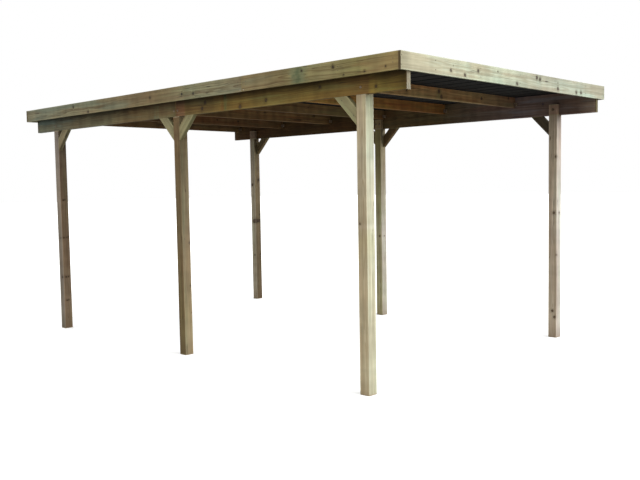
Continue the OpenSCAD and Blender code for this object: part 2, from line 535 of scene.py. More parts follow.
class Recipe:
    """Lays down the nodes of one material and joins them."""

    NODES_A_ROW = 12
    NODE_WIDTH = 190
    NODE_HEIGHT = 320

    def __init__(self, name: str) -> None:
        """Starts an empty material.

        Args:
            name: Name of the material.
        """
        self.material = bpy.data.materials.new(name)
        self.material.use_nodes = True
        self.tree = self.material.node_tree
        self.tree.nodes.clear()
        self.count = 0

    def node(self, kind: str, inputs: Mapping[Any, Any] | None = None, **settings: Any) -> bpy.types.Node:
        """Adds a node, sets it and fills its sockets.

        Args:
            kind: Node type without its ShaderNode part.
            inputs: Socket name or number to a value or to another node's output.
            **settings: Properties of the node.

        Returns:
            The new node.
        """
        made = self.tree.nodes.new("ShaderNode" + kind)
        row, place = divmod(self.count, self.NODES_A_ROW)
        made.location = (place * self.NODE_WIDTH, -row * self.NODE_HEIGHT)
        self.count += 1
        for key, value in settings.items():
            setattr(made, key, value)
        for key, value in (inputs or {}).items():
            if isinstance(value, bpy.types.NodeSocket):
                self.tree.links.new(value, made.inputs[key])
            else:
                made.inputs[key].default_value = value
        return made

    def math(self, operation: str, *values: Any, clamp: bool = False) -> bpy.types.NodeSocket:
        """A sum on one to three values; each is a number or an output."""
        return self.node("Math", dict(enumerate(values)), operation=operation, use_clamp=clamp).outputs[0]

    def vector(self, operation: str, *values: Any) -> bpy.types.NodeSocket:
        """A vector sum; the length comes out as a number."""
        made = self.node("VectorMath", dict(enumerate(values)), operation=operation)
        return made.outputs["Value" if operation in ("LENGTH", "DOT_PRODUCT") else "Vector"]

    def noise(self, vector: Any, stretch: tuple[float, float, float], detail: float = 3.0,
              rough: float = 0.55, colour: bool = False) -> bpy.types.NodeSocket:
        """Cloud noise on a stretched copy of a vector.

        Args:
            vector: Output to read.
            stretch: Waves a metre in the vector's three directions.
            detail: Octaves.
            rough: Weight of the finer octaves.
            colour: Whether to hand out three values in place of one.

        Returns:
            The noise.
        """
        scaled = self.vector("MULTIPLY", vector, stretch)
        made = self.node("TexNoise", {"Vector": scaled, "Scale": 1.0, "Detail": detail, "Roughness": rough})
        return made.outputs["Color" if colour else "Fac"]

    def smooth(self, value: Any, low: float, high: float, out_low: float = 0.0,
               out_high: float = 1.0) -> bpy.types.NodeSocket:
        """A smooth step from one value to another.

        Args:
            value: Number or output that drives the step.
            low: Value at which the step begins.
            high: Value at which it ends.
            out_low: What comes out up to low.
            out_high: What comes out from high on.

        Returns:
            The stepped number.
        """
        return self.node(
            "MapRange",
            {"Value": value, "From Min": low, "From Max": high, "To Min": out_low, "To Max": out_high},
            interpolation_type="SMOOTHSTEP",
        ).outputs["Result"]

    def blend(self, factor: Any, first: Any, second: Any, mode: str = "MIX") -> bpy.types.NodeSocket:
        """A mix of two colours."""
        made = self.node("Mix", {0: factor, 6: first, 7: second}, data_type="RGBA", blend_type=mode)
        return made.outputs[2]

    def layer(self, name: str, vector: bool = False) -> bpy.types.NodeSocket:
        """A layer of the mesh, as a number or a vector."""
        made = self.node("Attribute", attribute_name=name, attribute_type="GEOMETRY")
        return made.outputs["Vector" if vector else "Fac"]

    def grey(self, value: Any) -> bpy.types.NodeSocket:
        """A number as a grey colour."""
        return self.node("CombineColor", {0: value, 1: value, 2: value}).outputs[0]

    def surface(self, colour: Any, roughness: Any, bump: Any = None, depth: float = 0.001,
                strength: float = 0.5, **constants: float) -> bpy.types.Material:
        """Closes the recipe with a principled surface.

        Args:
            colour: Base colour.
            roughness: Roughness.
            bump: Height of the relief.
            depth: Height of a full step of the relief, in metres.
            strength: Strength of the relief.
            **constants: Further sockets by name with underscores, set to plain numbers.

        Returns:
            The finished material.
        """
        made = self.node("BsdfPrincipled", {"Base Color": colour, "Roughness": roughness})
        for key, value in constants.items():
            made.inputs[key.replace("_", " ")].default_value = value
        if bump is not None:
            relief = self.node("Bump", {"Strength": strength, "Distance": depth, "Height": bump})
            self.tree.links.new(relief.outputs[0], made.inputs["Normal"])
        end = self.node("OutputMaterial")
        self.tree.links.new(made.outputs[0], end.inputs["Surface"])
        return self.material


def paint(colour: Colour) -> tuple[float, float, float, float]:
    """A colour with its fourth value."""
    return (*colour, 1.0)


@dataclass(frozen=True)
class Softwood:
    """Pressure-treated pine: growth rings, fibre, green and warm patches, knots, cracks and worn edges.

    Attributes:
        name: Name of the finish.
        early: Colour of the wide pale part of a ring.
        late: Colour of the narrow dark part.
        green: Colour where the treatment shows.
        warm: Colour where the heartwood or resin shows.
        knot: Colour of a knot's middle.
        rim: Colour of a knot's edge and of cracks.
        ring: Distance between rings, in metres.
        contrast: How strongly the rings show.
        mottle: How strongly the green and warm patches show.
        runs: How strongly marks across the length show, left by rain and by the saw.
        halo: How dark the wood round a knot is.
        end_grain: Colour of the end grain beside that of the faces.
        splash: Whether rain has splashed the foot.
    """

    name: str
    early: Colour
    late: Colour
    green: Colour
    warm: Colour
    knot: Colour = (0.13, 0.075, 0.04)
    rim: Colour = (0.04, 0.026, 0.016)
    ring: float = 0.0055
    contrast: float = 0.55
    mottle: float = 0.6
    runs: float = 0.2
    halo: float = 0.5
    end_grain: Colour = (0.8, 0.8, 0.8)
    splash: bool = False

    def material(self) -> bpy.types.Material:
        """The finish as a material.

        Returns:
            The new material, built up from the rings outward to the wear.
        """
        mix = Recipe(self.name)
        grain = mix.layer("grain", vector=True)
        knot = mix.layer("knot")
        fibre = mix.noise(grain, (420.0, 420.0, 9.0), 3.0, 0.6)
        streak = mix.noise(grain, (46.0, 46.0, 1.3), 4.0, 0.6)
        cloud = mix.noise(grain, (6.0, 6.0, 2.1), 3.0, 0.55)
        ring = self.rings(mix, grain, knot)
        shade = self.shade(mix, grain, fibre, streak, cloud)
        base = mix.blend(
            mix.math("MULTIPLY", ring, self.contrast, clamp=True), paint(self.early), paint(self.late)
        )
        base = self.patches(mix, grain, streak, base)
        base = mix.blend(1.0, base, mix.grey(shade), "MULTIPLY")
        edge = mix.math("MULTIPLY_ADD", mix.math("SUBTRACT", fibre, 0.5), 0.5, knot)
        base, brim = self.knots(mix, edge, base)
        crack = self.cracks(mix, grain, cloud)
        base = mix.blend(mix.math("MULTIPLY", crack, 0.8), base, paint(self.rim))
        base = self.wear(mix, streak, cloud, base)
        relief = mix.math("MULTIPLY_ADD", fibre, 0.5, mix.math("MULTIPLY", ring, 0.25))
        relief = mix.math("SUBTRACT", relief, mix.math("MULTIPLY", crack, 1.2))
        relief = mix.math("SUBTRACT", relief, mix.math("MULTIPLY", brim, 0.5))
        sawn = mix.noise(grain, (12.0, 12.0, 210.0), 1.0)
        relief = mix.math("MULTIPLY_ADD", sawn, 0.3, relief)
        rough = mix.math("MULTIPLY_ADD", fibre, 0.2, 0.68)
        return mix.surface(base, rough, relief, 0.0012, 0.55, Specular_IOR_Level=0.25)

    def rings(self, mix: Recipe, grain: Any, knot: Any) -> bpy.types.NodeSocket:
        """Growth rings.

        A ring is the distance from the pith, bent by slow noise, pushed outward
        near knots and cut into a saw wave of one ring's width.

        Args:
            mix: Recipe to add to.
            grain: Place in the log.
            knot: Distance from the nearest knot in its radii.

        Returns:
            1 on the dark part of a ring and 0 on the pale part.
        """
        drift = mix.noise(grain, (7.0, 7.0, 1.1), 2.0, colour=True)
        drift = mix.vector("MULTIPLY", mix.vector("SUBTRACT", drift, (0.5, 0.5, 0.5)), (0.04, 0.04, 0.0))
        flat = mix.vector("MULTIPLY", mix.vector("ADD", grain, drift), (1.0, 1.0, 0.0))
        push = mix.math("EXPONENT", mix.math("MULTIPLY", mix.math("MULTIPLY", knot, knot), -0.4))
        reach = mix.math("MULTIPLY_ADD", push, 0.02, mix.vector("LENGTH", flat))
        pace = mix.noise(mix.node("CombineXYZ", {0: reach}).outputs[0], (55.0, 0.0, 0.0), 1.0)
        turns = mix.math("ADD", mix.math("DIVIDE", reach, self.ring), mix.math("MULTIPLY", pace, 3.0))
        saw = mix.math("FRACT", turns)
        return mix.math("MULTIPLY", mix.smooth(saw, 0.3, 0.84), mix.smooth(saw, 0.87, 1.0, 1.0, 0.0))

    def shade(self, mix: Recipe, grain: Any, fibre: Any, streak: Any, cloud: Any) -> bpy.types.NodeSocket:
        """Light and dark of fibre, streaks, broad patches and marks across the length.

        Args:
            mix: Recipe to add to.
            grain: Place in the log.
            fibre: Fine fibre noise.
            streak: Streak noise.
            cloud: Broad noise.

        Returns:
            A brightness to multiply by.
        """
        shade = mix.math("MULTIPLY_ADD", fibre, 0.42, 0.79)
        shade = mix.math("MULTIPLY", shade, mix.smooth(streak, 0.25, 0.75, 0.78, 1.18))
        shade = mix.math("MULTIPLY", shade, mix.smooth(cloud, 0.28, 0.72, 0.84, 1.12))
        across = mix.noise(grain, (3.0, 3.0, 12.0), 2.0, 0.4)
        marks = mix.smooth(across, 0.3, 0.72, 1.0 + 0.5 * self.runs, 1.0 - self.runs)
        return mix.math("MULTIPLY", shade, marks)

    def patches(self, mix: Recipe, grain: Any, streak: Any, base: Any) -> bpy.types.NodeSocket:
        """Green and warm patches, scattered and at the stains.

        Args:
            mix: Recipe to add to.
            grain: Place in the log.
            streak: Streak noise.
            base: Colour so far.

        Returns:
            The colour with the patches.
        """
        hue = mix.noise(grain, (9.0, 9.0, 1.2), 3.0, 0.6)
        hue = mix.math("ADD", hue, mix.math("MULTIPLY", mix.math("SUBTRACT", streak, 0.5), 0.35))
        stain = mix.layer("stain")
        hue = mix.math("ADD", hue, mix.math("MULTIPLY", stain, 0.3))
        base = mix.blend(mix.smooth(hue, 0.5, 0.72, 0.0, self.mottle), base, paint(self.green))
        base = mix.blend(mix.smooth(hue, 0.5, 0.3, 0.0, self.mottle), base, paint(self.warm))
        blot = mix.noise(grain, (26.0, 26.0, 14.0), 3.0, 0.6)
        damp = mix.smooth(mix.math("MULTIPLY_ADD", blot, 1.6, stain), 1.35, 2.0, 0.0, 0.85)
        return mix.blend(damp, base, mix.blend(1.0, base, paint((0.5, 0.62, 0.6)), "MULTIPLY"))

    def knots(self, mix: Recipe, edge: Any, base: Any) -> tuple[bpy.types.NodeSocket, bpy.types.NodeSocket]:
        """Knots with a dark rim, a ringed middle and a stained surround.

        Args:
            mix: Recipe to add to.
            edge: Frayed distance from the nearest knot, in its radii.
            base: Colour so far.

        Returns:
            The colour with the knots, and how much each place is on a rim.
        """
        halo = mix.smooth(edge, 0.9, 3.2, self.halo, 0.0)
        base = mix.blend(halo, base, mix.blend(1.0, base, paint((0.42, 0.38, 0.34)), "MULTIPLY"))
        whirl = mix.smooth(mix.math("FRACT", mix.math("MULTIPLY", edge, 3.3)), 0.2, 0.9)
        core = mix.smooth(edge, 0.86, 1.02, 1.0, 0.0)
        base = mix.blend(core, base, mix.blend(whirl, paint(self.knot), paint(self.rim)))
        brim = mix.smooth(mix.math("ABSOLUTE", mix.math("SUBTRACT", edge, 1.0)), 0.05, 0.28, 1.0, 0.0)
        return mix.blend(mix.math("MULTIPLY", brim, 0.8), base, paint(self.rim)), brim

    def cracks(self, mix: Recipe, grain: Any, cloud: Any) -> bpy.types.NodeSocket:
        """Fine drying cracks along the fibre, where the broad noise is high.

        Args:
            mix: Recipe to add to.
            grain: Place in the log.
            cloud: Broad noise.

        Returns:
            1 in a crack and 0 elsewhere.
        """
        split = mix.noise(grain, (24.0, 24.0, 0.75), 2.0, 0.4)
        crack = mix.smooth(mix.math("ABSOLUTE", mix.math("SUBTRACT", split, 0.5)), 0.002, 0.008, 1.0, 0.0)
        return mix.math("MULTIPLY", crack, mix.smooth(cloud, 0.52, 0.6))

    def wear(self, mix: Recipe, streak: Any, cloud: Any, base: Any) -> bpy.types.NodeSocket:
        """Pale arrises, dark thirsty ends, end grain, a splashed foot and the timber's colour with its
        painted light and shade.

        Args:
            mix: Recipe to add to.
            streak: Streak noise.
            cloud: Broad noise.
            base: Colour so far.

        Returns:
            The finished colour.
        """
        worn = mix.math("MULTIPLY", mix.layer("arris"), mix.smooth(streak, 0.3, 0.6, 0.1, 0.45))
        pale = tuple(min(1.0, channel * 1.35 + 0.02) for channel in self.early)
        base = mix.blend(worn, base, paint(pale))
        tip = mix.layer("tip")
        base = mix.blend(mix.smooth(tip, 0.0, 0.06, 0.3, 0.0), base, paint(self.late))
        cut = mix.smooth(tip, 0.0002, 0.0012, 1.0, 0.0)
        base = mix.blend(cut, base, mix.blend(1.0, base, paint(self.end_grain), "MULTIPLY"))
        if self.splash:
            height = mix.node("SeparateXYZ", {0: mix.node("TexCoord").outputs["Object"]}).outputs[2]
            foot = mix.math("SUBTRACT", height, mix.math("MULTIPLY", cloud, 0.25))
            base = mix.blend(mix.smooth(foot, -0.08, 0.1, 0.35, 0.0), base, paint(self.knot))
        # Multiplies by the piece's colour layer, which holds painted light and shade as well as the piece's
        # own tone.
        return mix.blend(1.0, base, mix.layer("tone", vector=True), "MULTIPLY")


@dataclass(frozen=True)
class CoatedSteel:
    """Dark coated steel sheet, dusty with faint runs on top, matt and near black underneath, partly as
    painted shade under the roof.

    Attributes:
        name: Name of the finish.
        colour: Colour of the coating.
        dust: Colour of the dust on it.
        lining: Colour of the back coat underneath, made near black, partly as painted shade under the roof.
    """

    name: str
    colour: Colour
    dust: Colour
    lining: Colour

    def material(self) -> bpy.types.Material:
        """The finish as a material.

        Returns:
            The new material.
        """
        mix = Recipe(self.name)
        place = mix.node("TexCoord").outputs["Object"]
        runs = mix.noise(place, (14.0, 0.35, 3.0), 4.0, 0.6)
        cloud = mix.noise(place, (1.3, 0.9, 2.0), 4.0, 0.6)
        speck = mix.noise(place, (260.0, 260.0, 260.0), 2.0)
        up = mix.node("SeparateXYZ", {0: mix.node("NewGeometry").outputs["Normal"]}).outputs[2]
        settled = mix.smooth(up, 0.2, 0.95)
        share = mix.math("MULTIPLY", mix.smooth(runs, 0.4, 0.75), mix.smooth(cloud, 0.3, 0.7, 0.1, 0.5))
        colour = mix.blend(mix.math("MULTIPLY", share, settled), paint(self.colour), paint(self.dust))
        colour = mix.blend(mix.smooth(speck, 0.45, 0.75, 0.0, 0.12), colour, paint(self.dust))
        # The near black underside coat also paints the shade under the roof.
        lining = mix.blend(mix.smooth(cloud, 0.3, 0.7, 0.0, 0.15), paint(self.lining), paint(self.dust))
        colour = mix.blend(mix.smooth(up, -0.6, -0.2, 1.0, 0.0), colour, lining)
        rough = mix.math("MULTIPLY_ADD", cloud, 0.25, mix.smooth(up, -0.6, 0.5, 0.72, 0.36))
        return mix.surface(colour, rough, speck, 0.0003, 0.25, Specular_IOR_Level=0.12)


@dataclass(frozen=True)
class Zinc:
    """Zinc-plated steel: mottled grey with darker, duller patches.

    Attributes:
        name: Name of the finish.
        bright: Colour of the bright zinc.
        dull: Colour where it has weathered.
        metal: How much it still shines as metal.
    """

    name: str
    bright: Colour
    dull: Colour
    metal: float = 0.9

    def material(self) -> bpy.types.Material:
        """The finish as a material.

        Returns:
            The new material.
        """
        mix = Recipe(self.name)
        place = mix.node("TexCoord").outputs["Object"]
        spangle = mix.node(
            "TexVoronoi", {"Vector": place, "Scale": 240.0}, feature="F1"
        ).outputs["Color"]
        flake = mix.node("SeparateColor", {0: spangle}).outputs[0]
        cloud = mix.noise(place, (38.0, 38.0, 38.0), 3.0)
        colour = mix.blend(mix.smooth(cloud, 0.4, 0.65), paint(self.bright), paint(self.dull))
        colour = mix.blend(mix.math("MULTIPLY", flake, 0.25), colour, paint(self.dull))
        rough = mix.math("MULTIPLY_ADD", cloud, 0.3, 0.26)
        return mix.surface(colour, rough, flake, 0.0002, 0.2, Metallic=self.metal)


@dataclass(frozen=True)
class StudioFloor:
    """Plain pale floor that throws back only part of the light it shows.

    Attributes:
        seen: Colour of the floor itself.
        thrown: Colour with which it lights the carport from below.
        glow: Light added to the floor as it is seen.
    """

    seen: Colour
    thrown: Colour
    glow: float

    def material(self) -> bpy.types.Material:
        """The finish as a material.

        Returns:
            The new material.
        """
        mix = Recipe("studio_floor")
        place = mix.node("TexCoord").outputs["Object"]
        cloud = mix.noise(place, (0.6, 0.6, 0.6), 3.0)
        direct = mix.node("LightPath").outputs["Is Camera Ray"]
        colour = mix.blend(direct, paint(self.thrown), paint(self.seen))
        colour = mix.blend(1.0, colour, mix.grey(mix.smooth(cloud, 0.2, 0.8, 0.985, 1.0)), "MULTIPLY")
        made = mix.surface(colour, 0.85, cloud, 0.0005, 0.05, Specular_IOR_Level=0.0)
        shader = next(node for node in mix.tree.nodes if node.type == "BSDF_PRINCIPLED")
        shader.inputs["Emission Color"].default_value = (1.0, 1.0, 1.0, 1.0)
        mix.tree.links.new(mix.math("MULTIPLY", direct, self.glow), shader.inputs["Emission Strength"])
        return made


@dataclass(frozen=True)
class Finishes:
    """Every finish of the carport, made once and shared.

    Attributes:
        post: Pale planed timber of the posts.
        beam: Darker timber of the side beams, with a bright cut end.
        brace: Timber of the knee braces.
        rafter: Warm timber of rafters, front rail and battens.
        board: Pale timber of the boards across the ends.
        side_board: Browner timber of the boards along the sides.
        sheet: Coated steel of the roof.
        zinc: Coach bolts and roof screws.
        dull_zinc: Weathered screws in boards and braces.
        bright_zinc: Newer screws in brackets and board joints.
        bracket_zinc: Angle brackets.
    """

    post: bpy.types.Material
    beam: bpy.types.Material
    brace: bpy.types.Material
    rafter: bpy.types.Material
    board: bpy.types.Material
    side_board: bpy.types.Material
    sheet: bpy.types.Material
    zinc: bpy.types.Material
    dull_zinc: bpy.types.Material
    bright_zinc: bpy.types.Material
    bracket_zinc: bpy.types.Material

    @staticmethod
    def mixed() -> "Finishes":
        """Mixes the carport's finishes.

        Returns:
            The finishes, in the order in which they are mixed.
        """
        return Finishes(
            post=Softwood(
                "post_pine", early=(0.47, 0.40, 0.275), late=(0.30, 0.215, 0.12),
                green=(0.42, 0.43, 0.27), warm=(0.42, 0.31, 0.20), knot=(0.17, 0.11, 0.065),
                rim=(0.065, 0.045, 0.028), ring=0.005, contrast=0.45, runs=0.08, splash=True,
            ).material(),
            beam=Softwood(
                "beam_pine", early=(0.246, 0.156, 0.043), late=(0.123, 0.065, 0.016),
                green=(0.21, 0.175, 0.062), warm=(0.217, 0.106, 0.027),
                ring=0.006, contrast=0.6, mottle=0.85, runs=0.14, end_grain=(1.8, 2.5, 5.2),
            ).material(),
            brace=Softwood(
                "brace_pine", early=(0.378, 0.342, 0.184), late=(0.231, 0.182, 0.083),
                green=(0.304, 0.332, 0.166), warm=(0.347, 0.257, 0.129),
                ring=0.005, contrast=0.5, runs=0.05,
            ).material(),
            rafter=Softwood(
                "rafter_pine", early=(0.323, 0.207, 0.088), late=(0.162, 0.086, 0.032),
                green=(0.247, 0.207, 0.088), warm=(0.285, 0.126, 0.045),
                ring=0.006, contrast=0.6, mottle=0.8, runs=0.2,
            ).material(),
            board=Softwood(
                "board_pine", early=(0.433, 0.447, 0.324), late=(0.274, 0.246, 0.152),
                green=(0.365, 0.43, 0.318), warm=(0.4, 0.342, 0.226), knot=(0.15, 0.12, 0.085),
                ring=0.006, contrast=0.5, mottle=0.75, runs=0.1, halo=0.55, end_grain=(0.25, 0.19, 0.12),
            ).material(),
            side_board=Softwood(
                "side_board_pine", early=(0.325, 0.279, 0.13), late=(0.156, 0.108, 0.043),
                green=(0.221, 0.235, 0.13), warm=(0.312, 0.21, 0.097), knot=(0.07, 0.055, 0.035),
                ring=0.006, contrast=0.75, mottle=0.8, runs=0.12, halo=0.6, end_grain=(0.5, 0.5, 0.5),
            ).material(),
            # The sheet's near black lining stands partly for the shade under the roof.
            sheet=CoatedSteel(
                "coated_sheet", colour=(0.022, 0.027, 0.034), dust=(0.16, 0.15, 0.13),
                lining=(0.012, 0.012, 0.013),
            ).material(),
            zinc=Zinc("zinc_plate", (0.26, 0.2, 0.13), (0.13, 0.085, 0.05), 0.35).material(),
            dull_zinc=Zinc("dull_zinc", (0.13, 0.12, 0.10), (0.06, 0.05, 0.04)).material(),
            bright_zinc=Zinc("bright_zinc", (0.55, 0.52, 0.46), (0.36, 0.32, 0.26), 0.4).material(),
            bracket_zinc=Zinc("bracket_zinc", (0.3, 0.22, 0.15), (0.17, 0.11, 0.07), 0.3).material(),
        )


def nodes_named(start: str) -> list[str]:
    """Names of the CAD nodes that begin with a word."""
    return sorted(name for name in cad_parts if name.startswith(start))


def corners(node: str) -> tuple[np.ndarray, np.ndarray]:
    """Lowest and highest corner of a CAD node's box, as arrays."""
    low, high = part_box(node)
    return np.array(low), np.array(high)


def set_up(patch: Patch, name: str, finish: bpy.types.Material, slot: str, *nodes: str) -> None:
    """Makes a piece and hides the CAD nodes that it stands for.

    Args:
        patch: The piece's surface.
        name: Name of the piece.
        finish: Its finish.
        slot: Name of a material slot; not used.
        *nodes: CAD nodes that it replaces.
    """
    thing = patch.to_object(name, finish)
    if nodes:
        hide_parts(*nodes)
    LOG.info("%s: %d faces", thing.name, len(thing.data.polygons))


# ------------------------------------------------------------------- sub-assemblies


@dataclass(frozen=True)
class Whorl:
    """Knots that leave the pith at one height.

    Attributes:
        along: Distance from the low end, in metres.
        bearings: Direction of each knot from the pith, in degrees from the first cross axis.
        radius: Radius of the knots.
    """

    along: float
    bearings: tuple[float, ...]
    radius: float

    def knots(self, pith: tuple[float, float]) -> list[Knot]:
        """The whorl's knots, each a little higher than the one before.

        Args:
            pith: Place of the pith in the section.

        Returns:
            One knot a bearing.
        """
        rise, out = 0.004, 0.05
        turns = [math.radians(bearing) for bearing in self.bearings]
        return [
            Knot(
                self.along + rise * place, pith[0] + out * math.cos(turn),
                pith[1] + out * math.sin(turn), self.radius,
            )
            for place, turn in enumerate(turns)
        ]


@dataclass(frozen=True)
class Look:
    """How one timber differs from its common finish.

    Attributes:
        tone: Colour beside the finish, partly the piece's own colour and partly painted light and shade.
        whorls: Chosen whorls of knots.
        face_knots: Chosen knots of a board or beam: along, over, radius.
        stains: Chosen patches.
        knot_gap: Usual distance between the scattered whorls.
        front: Colour of the low side on the second cross axis beside the piece's colour, partly a tint of
            that face and partly painted light and shade on it; the two high sides take the square root of
            it.
        washes: Slow changes of colour along, partly the wood's own and partly painted light and shade:
            distances along, each with its colour beside the piece's colour.
        grade: Light and dark across, partly painted shade such as the shadow under the fascia on the beams:
            shares of the first half size, each with its brightness.
        ends: Colour of the end faces beside the finish.
    """

    tone: Colour = PLAIN
    whorls: tuple[Whorl, ...] = ()
    face_knots: tuple[tuple[float, float, float], ...] = ()
    stains: tuple[Stain, ...] = ()
    knot_gap: float = 0.45
    front: Colour = PLAIN
    washes: tuple[tuple[float, Colour], ...] = ()
    grade: tuple[tuple[float, float], ...] = ()
    ends: Colour = PLAIN

    def choices(self) -> dict[str, Any]:
        """The fields of a stick that this look settles."""
        shared = ("tone", "front", "washes", "stains", "knot_gap", "grade", "ends")
        return {name: getattr(self, name) for name in shared}

    def outer_knots(self, lie: Lie, outer: float) -> tuple[Knot, ...]:
        """The chosen knots of a board or beam, where they come out of its outer face.

        Args:
            lie: Direction of the timber's length.
            outer: Place of the outer face on its cross axis, from the middle line.

        Returns:
            One knot for each of face_knots.
        """
        if lie is Lie.WIDTH:
            return tuple(Knot(along, outer, over, radius) for along, over, radius in self.face_knots)
        return tuple(Knot(along, over, outer, radius) for along, over, radius in self.face_knots)


@dataclass(frozen=True)
class Posts:
    """Six square posts with the outside of the top cut away for the beam.

    Attributes:
        looks: Look of each post, by node.
        arris: Radius of the planed edges.
        pith: Middle of the log, in shares of the half sizes.
        top_shade: Colour of the tongue beside the shaft's, darker as painted shade under the beam and roof.
        lap: How far the tongue reaches down into the shaft.
    """

    looks: Mapping[str, Look]
    arris: float = 0.003
    pith: tuple[float, float] = (0.25, -0.2)
    top_shade: Colour = (0.78, 0.62, 0.6)
    lap: float = 0.0004

    def build(self, finishes: Finishes) -> None:
        """Builds each post as a shaft and the tongue above its shoulder.

        Args:
            finishes: The carport's finishes.
        """
        beam_low, beam_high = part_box("beam_left_front")
        notch = beam_high[0] - beam_low[0]
        for seed, (node, look) in enumerate(self.looks.items(), start=11):
            low, high = corners(node)
            side = Side.of(low)
            shoulder, tongue_low, tongue_high = high.copy(), low.copy(), high.copy()
            shoulder[2] = beam_low[2]
            tongue_low[2] = beam_low[2] - self.lap
            cut = tongue_low if side is Side.LEFT else tongue_high
            cut[0] -= side.value * notch
            shaft = stick_between(
                low, shoulder, Lie.HEIGHT, seed, pith=self.pith, arris=self.arris, **look.choices(),
            )
            knots = tuple(knot for whorl in look.whorls for knot in whorl.knots(shaft.pith))
            shaft = replace(shaft, knots=knots)
            # The tongue is darkened as painted shade under the beam and roof.
            shaded = tuple(one * part for one, part in zip(look.tone, self.top_shade))
            tongue = stick_between(
                tongue_low, tongue_high, Lie.HEIGHT, seed, tone=shaded, arris=self.arris, knot_gap=CLEAR,
            )
            offset = (-side.value * notch / 2, 0.0, float(tongue_low[2]))
            tongue = replace(tongue, pith=shaft.pith, offset=offset)
            body = Patch.joined([shaft.surface(), tongue.surface()])
            set_up(body, node + "_timber", finishes.post, "post_timber", node)


@dataclass(frozen=True)
class SideBeams:
    """The long side beams, each in two lengths meeting over the middle post.

    Attributes:
        looks: Look of each length, by node.
    """

    looks: Mapping[str, Look]

    def build(self, finishes: Finishes) -> None:
        """Builds the four lengths.

        Args:
            finishes: The carport's finishes.
        """
        for seed, (node, look) in enumerate(self.looks.items(), start=31):
            low, high = corners(node)
            outer = Side.of(low).value * (high[0] - low[0]) / 2
            stick = stick_between(
                low, high, Lie.DEPTH, seed, pith=(0.1, 3.2),
                knots=look.outer_knots(Lie.DEPTH, outer), **look.choices(),
            )
            set_up(stick.surface(), node + "_timber", finishes.beam, "beam_timber", node)


@dataclass(frozen=True)
class KneeBraces:
    """Straight braces under the beams, cut upright at the post and level at the beam.

    Attributes:
        looks: Look of each brace, by node.
        width: Width of the timber across its slope.
        pith: Middle of the log, in metres from the middle line.
    """

    looks: Mapping[str, Look]
    width: float = 0.095
    pith: tuple[float, float] = (0.012, 0.06)

    def build(self, finishes: Finishes) -> None:
        """Builds each brace between its post and beam.

        Args:
            finishes: The carport's finishes.
        """
        for seed, (node, look) in enumerate(self.looks.items(), start=51):
            low, high = corners(node)
            way = 1.0 if self.runs_back(node) else -1.0
            leg = high[1] - low[1]
            gap = leg - self.width * math.sqrt(2)
            foot = low[1] if way > 0 else high[1]
            stick = Stick(
                start=np.array([(low[0] + high[0]) / 2, foot, low[2] + (leg - gap) / 2]),
                along=np.array([0.0, way, 1.0]) / math.sqrt(2), across=np.array([1.0, 0.0, 0.0]),
                length=(leg + gap) / 2 * math.sqrt(2), half_across=(high[0] - low[0]) / 2 - SWAY,
                half_over=self.width / 2 - SWAY, pith=self.pith, seed=seed,
                low_cut=(0.0, -way), high_cut=(0.0, way), **look.choices(),
            )
            set_up(stick.surface(), node + "_timber", finishes.brace, "brace_timber", node)

    @staticmethod
    def runs_back(node: str) -> bool:
        """Whether a brace leans from its post towards the rear."""
        return node.startswith("brace_front") or node.endswith("aft")


@dataclass(frozen=True)
class Rafters:
    """The rafters and the front rail between the side beams.

    Attributes:
        looks: Look of each rafter, by node.
    """

    looks: Mapping[str, Look]

    def build(self, finishes: Finishes) -> None:
        """Builds the rail and the rafters, with the chosen knots in their front faces.

        Args:
            finishes: The carport's finishes.
        """
        for seed, (node, look) in enumerate(self.looks.items(), start=71):
            low, high = corners(node)
            stick = stick_between(
                low, high, Lie.WIDTH, seed, pith=(1.6, 0.4),
                knots=look.outer_knots(Lie.WIDTH, (low[1] - high[1]) / 2), **look.choices(),
            )
            set_up(stick.surface(), node + "_timber", finishes.rafter, "rafter_timber", node)


@dataclass(frozen=True)
class EdgeBattens:
    """Battens on the outside of the beams, under the sheet edges."""

    def build(self, finishes: Finishes) -> None:
        """Builds the two battens.

        Args:
            finishes: The carport's finishes.
        """
        for seed, side in enumerate(Side, start=91):
            node = f"edge_batten_{side.word}"
            stick = stick_between(*corners(node), Lie.DEPTH, seed, cell=(0.03, 0.012))
            set_up(stick.surface(), node + "_timber", finishes.rafter, "batten_timber", node)


@dataclass(frozen=True)
class FasciaBoards:
    """Boards round the roof edge.

    Attributes:
        looks: Look of each board, by node.
        arris: Radius of the planed edges.
    """

    looks: Mapping[str, Look]
    arris: float = 0.002

    def build(self, finishes: Finishes) -> None:
        """Builds the six boards.

        Args:
            finishes: The carport's finishes.
        """
        for seed, (node, look) in enumerate(self.looks.items(), start=101):
            low, high = corners(node)
            if node in ("fascia_front", "fascia_rear"):
                lie, through, pith, finish = Lie.WIDTH, 1, (5.5, -0.2), finishes.board
            else:
                lie, through, pith, finish = Lie.DEPTH, 0, (-0.2, 6.0), finishes.side_board
            outer = math.copysign((high[through] - low[through]) / 2, low[through])
            stick = stick_between(
                low, high, lie, seed, pith=pith, arris=self.arris,
                knots=look.outer_knots(lie, outer), **look.choices(),
            )
            set_up(stick.surface(), node + "_timber", finish, "fascia_timber", node)


